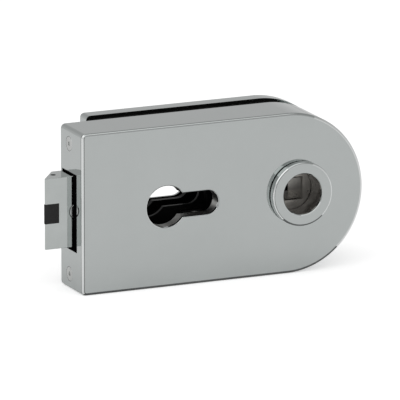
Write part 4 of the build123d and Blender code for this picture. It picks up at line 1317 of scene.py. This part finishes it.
def make_spring_tree() -> None:
    """Make the geometry tree that winds a compression spring with closed ends, or a stretch of one."""
    net = Group("wound spring", GEOMETRY_TREE,
                {"Coil Radius": (FLOAT, 0.003), "Wire Radius": (FLOAT, 0.0005), "Turns": (FLOAT, 10.0),
                 "Height": (FLOAT, 0.03), "From": (FLOAT, 0.0), "To": (FLOAT, 1.0),
                 "Start": (VECTOR, (0, 0, 0)), "Material": (MATERIAL, None)}, {"Geometry": GEOMETRY})
    given = net.given
    turn_steps, wire_sides, closed_rise = 32, 12, 2.1
    coil = net.add("GeometryNodeCurveSpiral", Resolution=turn_steps, Rotations=given["Turns"],
                   Start_Radius=given["Coil Radius"], End_Radius=given["Coil Radius"], Height=0.0)
    share = net.add("GeometryNodeSplineParameter").outputs["Factor"]
    one_turn = net.math("DIVIDE", 1.0, given["Turns"])
    last_turn = net.math("SUBTRACT", 1.0, one_turn)
    closed = net.math("MULTIPLY", given["Wire Radius"], closed_rise)
    open_height = net.math("SUBTRACT", given["Height"], net.math("MULTIPLY", closed, 2.0))
    parts = ((closed, 0.0, one_turn), (open_height, one_turn, last_turn), (closed, last_turn, 1.0))
    first, middle, last = [net.spread(share, 0.0, height, start, end) for height, start, end in parts]
    rise = net.add("ShaderNodeCombineXYZ", Z=net.math("ADD", net.math("ADD", first, middle), last))
    wound = net.add("GeometryNodeSetPosition", Geometry=coil.outputs["Curve"], Offset=rise.outputs[0])
    stretch = net.add("GeometryNodeTrimCurve", Curve=wound.outputs[0], Start=given["From"], End=given["To"])
    section = net.add("GeometryNodeCurvePrimitiveCircle", Resolution=wire_sides, Radius=given["Wire Radius"])
    wire = net.add("GeometryNodeCurveToMesh", Curve=stretch.outputs[0],
                   Profile_Curve=section.outputs["Curve"], Fill_Caps=True)
    net.put_out(net.add("GeometryNodeTransform", Geometry=wire.outputs["Mesh"], Translation=given["Start"],
                        Rotation=Facing.PLUS_X.turn).outputs[0])


@dataclass(frozen=True)
class Stretch:
    """A stretch of a spring that one joint shortens.

    Attributes:
        body: Body that it rides on.
        joint: Joint that shortens it, towards its right end.
        start: Where it starts, as a share of the spring.
        end: Where it ends.
    """

    body: str
    joint: str
    start: float = 0.0
    end: float = 1.0

    def travel(self) -> float:
        """Return the joint's travel."""
        return next(joint["range_m"][1] for joint in frame["joints"] if joint["name"] == self.joint) / MM


@dataclass
class Spring:
    """A compression spring along X whose right end stands on the case.

    Attributes:
        node: Node that it stands for.
        stretches: Its stretches from left to right.
        wire: Radius of its wire.
        turns: Number of its turns, with the closed ones.
        slack: Room left at its moving end when it is shortest.
    """

    node: str
    stretches: Sequence[Stretch]
    wire: float = 0.45
    turns: float = 11.0
    slack: float = 0.05

    def build(self) -> None:
        """Make the spring's stretches, each on its own body."""
        low, high = box_mm(self.node)
        long, middle = high.x - low.x, (low + high) / 2
        for number, stretch in enumerate(self.stretches, 1):
            name = f"{self.node}_model" if len(self.stretches) == 1 else f"{self.node}_model_{number}"
            piece = grow(name, (), "wound spring", {
                "Coil Radius": ((high.y - low.y) / 2 - self.wire) * MM, "Wire Radius": self.wire * MM,
                "Turns": self.turns, "Height": (long - 2 * self.wire) * MM, "From": stretch.start,
                "To": stretch.end, "Start": Vector((low.x + self.wire, middle.y, middle.z)) * MM,
                "Material": SPRING_STEEL.build()})
            hand_over(smooth(piece), SPRING_STEEL, stretch.body, self.node)
            length = (stretch.end - stretch.start) * long
            (length - stretch.travel() - self.slack) / length
            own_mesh(piece)


SPRINGS = (
    Spring("return_spring", (Stretch("case", "drive_travel"),)),
    Spring("latch_spring", (Stretch("drive", "latch_travel", end=0.5),
                            Stretch("case", "drive_travel", start=0.5))),
)


# Studio

@dataclass
class Studio:
    """Plain floor, world, lamp and camera, in metres and degrees.

    Attributes:
        azimuth: Angle of the camera from the front, below 0 to the left.
        elevation: Its angle above the horizon.
        distance: Its distance from what it looks at.
        lens: Its focal length for a sensor of 36 mm, in millimetres.
        target: Point that it looks at.
        horizon: Brightness of the horizon in reflections.
        zenith: Brightness of the sky in reflections.
        zenith_from: Sine of the height from which the zenith's brightness holds.
        fill: Strength of the world's own soft light.
        floor_half: Half the length of the floor's side.
        floor_tone: Darkest and lightest tone of the floor.
        floor_seen: What the floor adds to its brightness for the camera.
        floor_mirrored: What it adds in reflections.
        lamp_place: Where the lamp hangs.
        lamp_aim: Point that it faces.
        lamp_side: Length of its side.
        lamp_power: Its power in watts.
    """

    azimuth: float = -24.094
    elevation: float = 13.960
    distance: float = 3.829
    lens: float = 788.8
    target: Place = (-0.04093, 0.0150, -0.002653)
    horizon: float = 0.6
    zenith: float = 0.35
    zenith_from: float = 0.7
    fill: float = 0.52
    floor_half: float = 6.0
    floor_tone: Range = (0.80, 0.82)
    floor_seen: float = 0.5
    floor_mirrored: float = 0.06
    lamp_place: Place = (-0.5, -0.45, 1.3)
    lamp_aim: Place = (-0.06, 0.0, 0.0)
    lamp_side: float = 2.6
    lamp_power: float = 12.5

    def towards(self, way: Vector) -> Euler:
        """Return the turn that points a lamp or a camera along a way."""
        return way.to_track_quat("-Z", "Y").to_euler()

    def camera(self) -> None:
        """Set the camera at the photograph's angle."""
        turn, rise = math.radians(self.azimuth), math.radians(self.elevation)
        back = Vector((math.sin(turn) * math.cos(rise), -math.cos(turn) * math.cos(rise), math.sin(rise)))
        data = bpy.data.cameras.new("camera")
        data.lens = self.lens
        camera = place("camera", data)
        camera.location = Vector(self.target) + back * self.distance
        camera.rotation_euler = self.towards(-back)
        bpy.context.scene.camera = camera

    def floor(self) -> None:
        """Lay a plain pale floor under the lock."""
        former, half, level = Former(), self.floor_half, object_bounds()[0].z
        corners = ((-half, -half, level), (half, -half, level), (half, half, level), (-half, half, level))
        former.mesh.faces.new([former.mesh.verts.new(corner) for corner in corners])
        floor = former.finish("floor")
        made = bpy.data.materials.new("pale floor")
        made.use_nodes = True
        net = Network(made.node_tree)
        tone = net.group("uneven tone", Scale=3.0, Dark=(*grey(self.floor_tone[0]), 1),
                         Light=(*grey(self.floor_tone[1]), 1))
        rays = net.add("ShaderNodeLightPath").outputs
        seen = net.math("MULTIPLY", rays["Is Camera Ray"], self.floor_seen)
        reflected = net.math("MAXIMUM", rays["Is Glossy Ray"], rays["Is Transmission Ray"])
        mirrored = net.math("MULTIPLY", reflected, self.floor_mirrored)
        net.fill(made.node_tree.nodes["Principled BSDF"], Roughness=0.9, Specular_IOR_Level=0.1,
                 Base_Color=tone["Color"], Emission_Color=(1, 1, 1, 1),
                 Emission_Strength=net.math("ADD", seen, mirrored))
        floor.data.materials.append(made)
        floor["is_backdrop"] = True

    def world(self) -> None:
        """Give the world a white background and a soft light of its own."""
        world = bpy.data.worlds.new("studio")
        world.use_nodes = True
        bpy.context.scene.world = world
        net = Network(world.node_tree)
        rays = net.add("ShaderNodeLightPath").outputs
        seen = net.math("MAXIMUM", rays["Is Camera Ray"], rays["Is Transmission Ray"])
        upward = net.add("ShaderNodeSeparateXYZ", Vector=net.add("ShaderNodeTexCoord").outputs["Generated"])
        sky = net.spread(upward.outputs["Z"], self.horizon, self.zenith, end=self.zenith_from)
        lit = net.spread(rays["Is Glossy Ray"], self.fill, sky)
        net.fill(world.node_tree.nodes["Background"], Color=(1, 1, 1, 1),
                 Strength=net.spread(seen, lit, 1.0))

    def lamp(self) -> None:
        """Hang the square soft lamp."""
        data = bpy.data.lights.new("overhead softbox", "AREA")
        data.size = self.lamp_side
        data.energy = self.lamp_power
        lamp = place("overhead softbox", data)
        lamp.location = self.lamp_place
        lamp.rotation_euler = self.towards(Vector(self.lamp_aim) - Vector(self.lamp_place))

    def build(self) -> None:
        """Set up the whole studio."""
        self.floor()
        self.world()
        self.lamp()
        self.camera()
        bpy.context.scene.view_settings.view_transform = "Standard"


def dress_carried() -> None:
    """Give every node that stays its own procedural finish."""
    for finish, nodes in CARRIED.items():
        for node in nodes:
            for material_slot in bpy.data.objects[node].material_slots:
                material_slot.material = finish.build()
            LOG.info("%s: %s", node, finish.name)


def clear_defaults() -> None:
    """Remove the objects with which a new file starts."""
    for name in {"Cube", "Light", "Camera"} & set(bpy.data.objects.keys()):
        bpy.data.objects.remove(bpy.data.objects[name])


def main() -> None:
    """Build the dressed lock and its studio, piece by piece."""
    logging.basicConfig(level=logging.INFO, format="%(name)s: %(message)s")
    clear_defaults()
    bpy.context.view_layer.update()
    for make in (make_tone_group, make_scratch_group, make_grain_group, make_screw_tree, make_spring_tree):
        make()
    dress_carried()
    for piece in (Covers(), HandleFittings(), Latch(), *SCREWS, *SPRINGS, Studio()):
        piece.build()


if __name__ == "__main__":
    main()
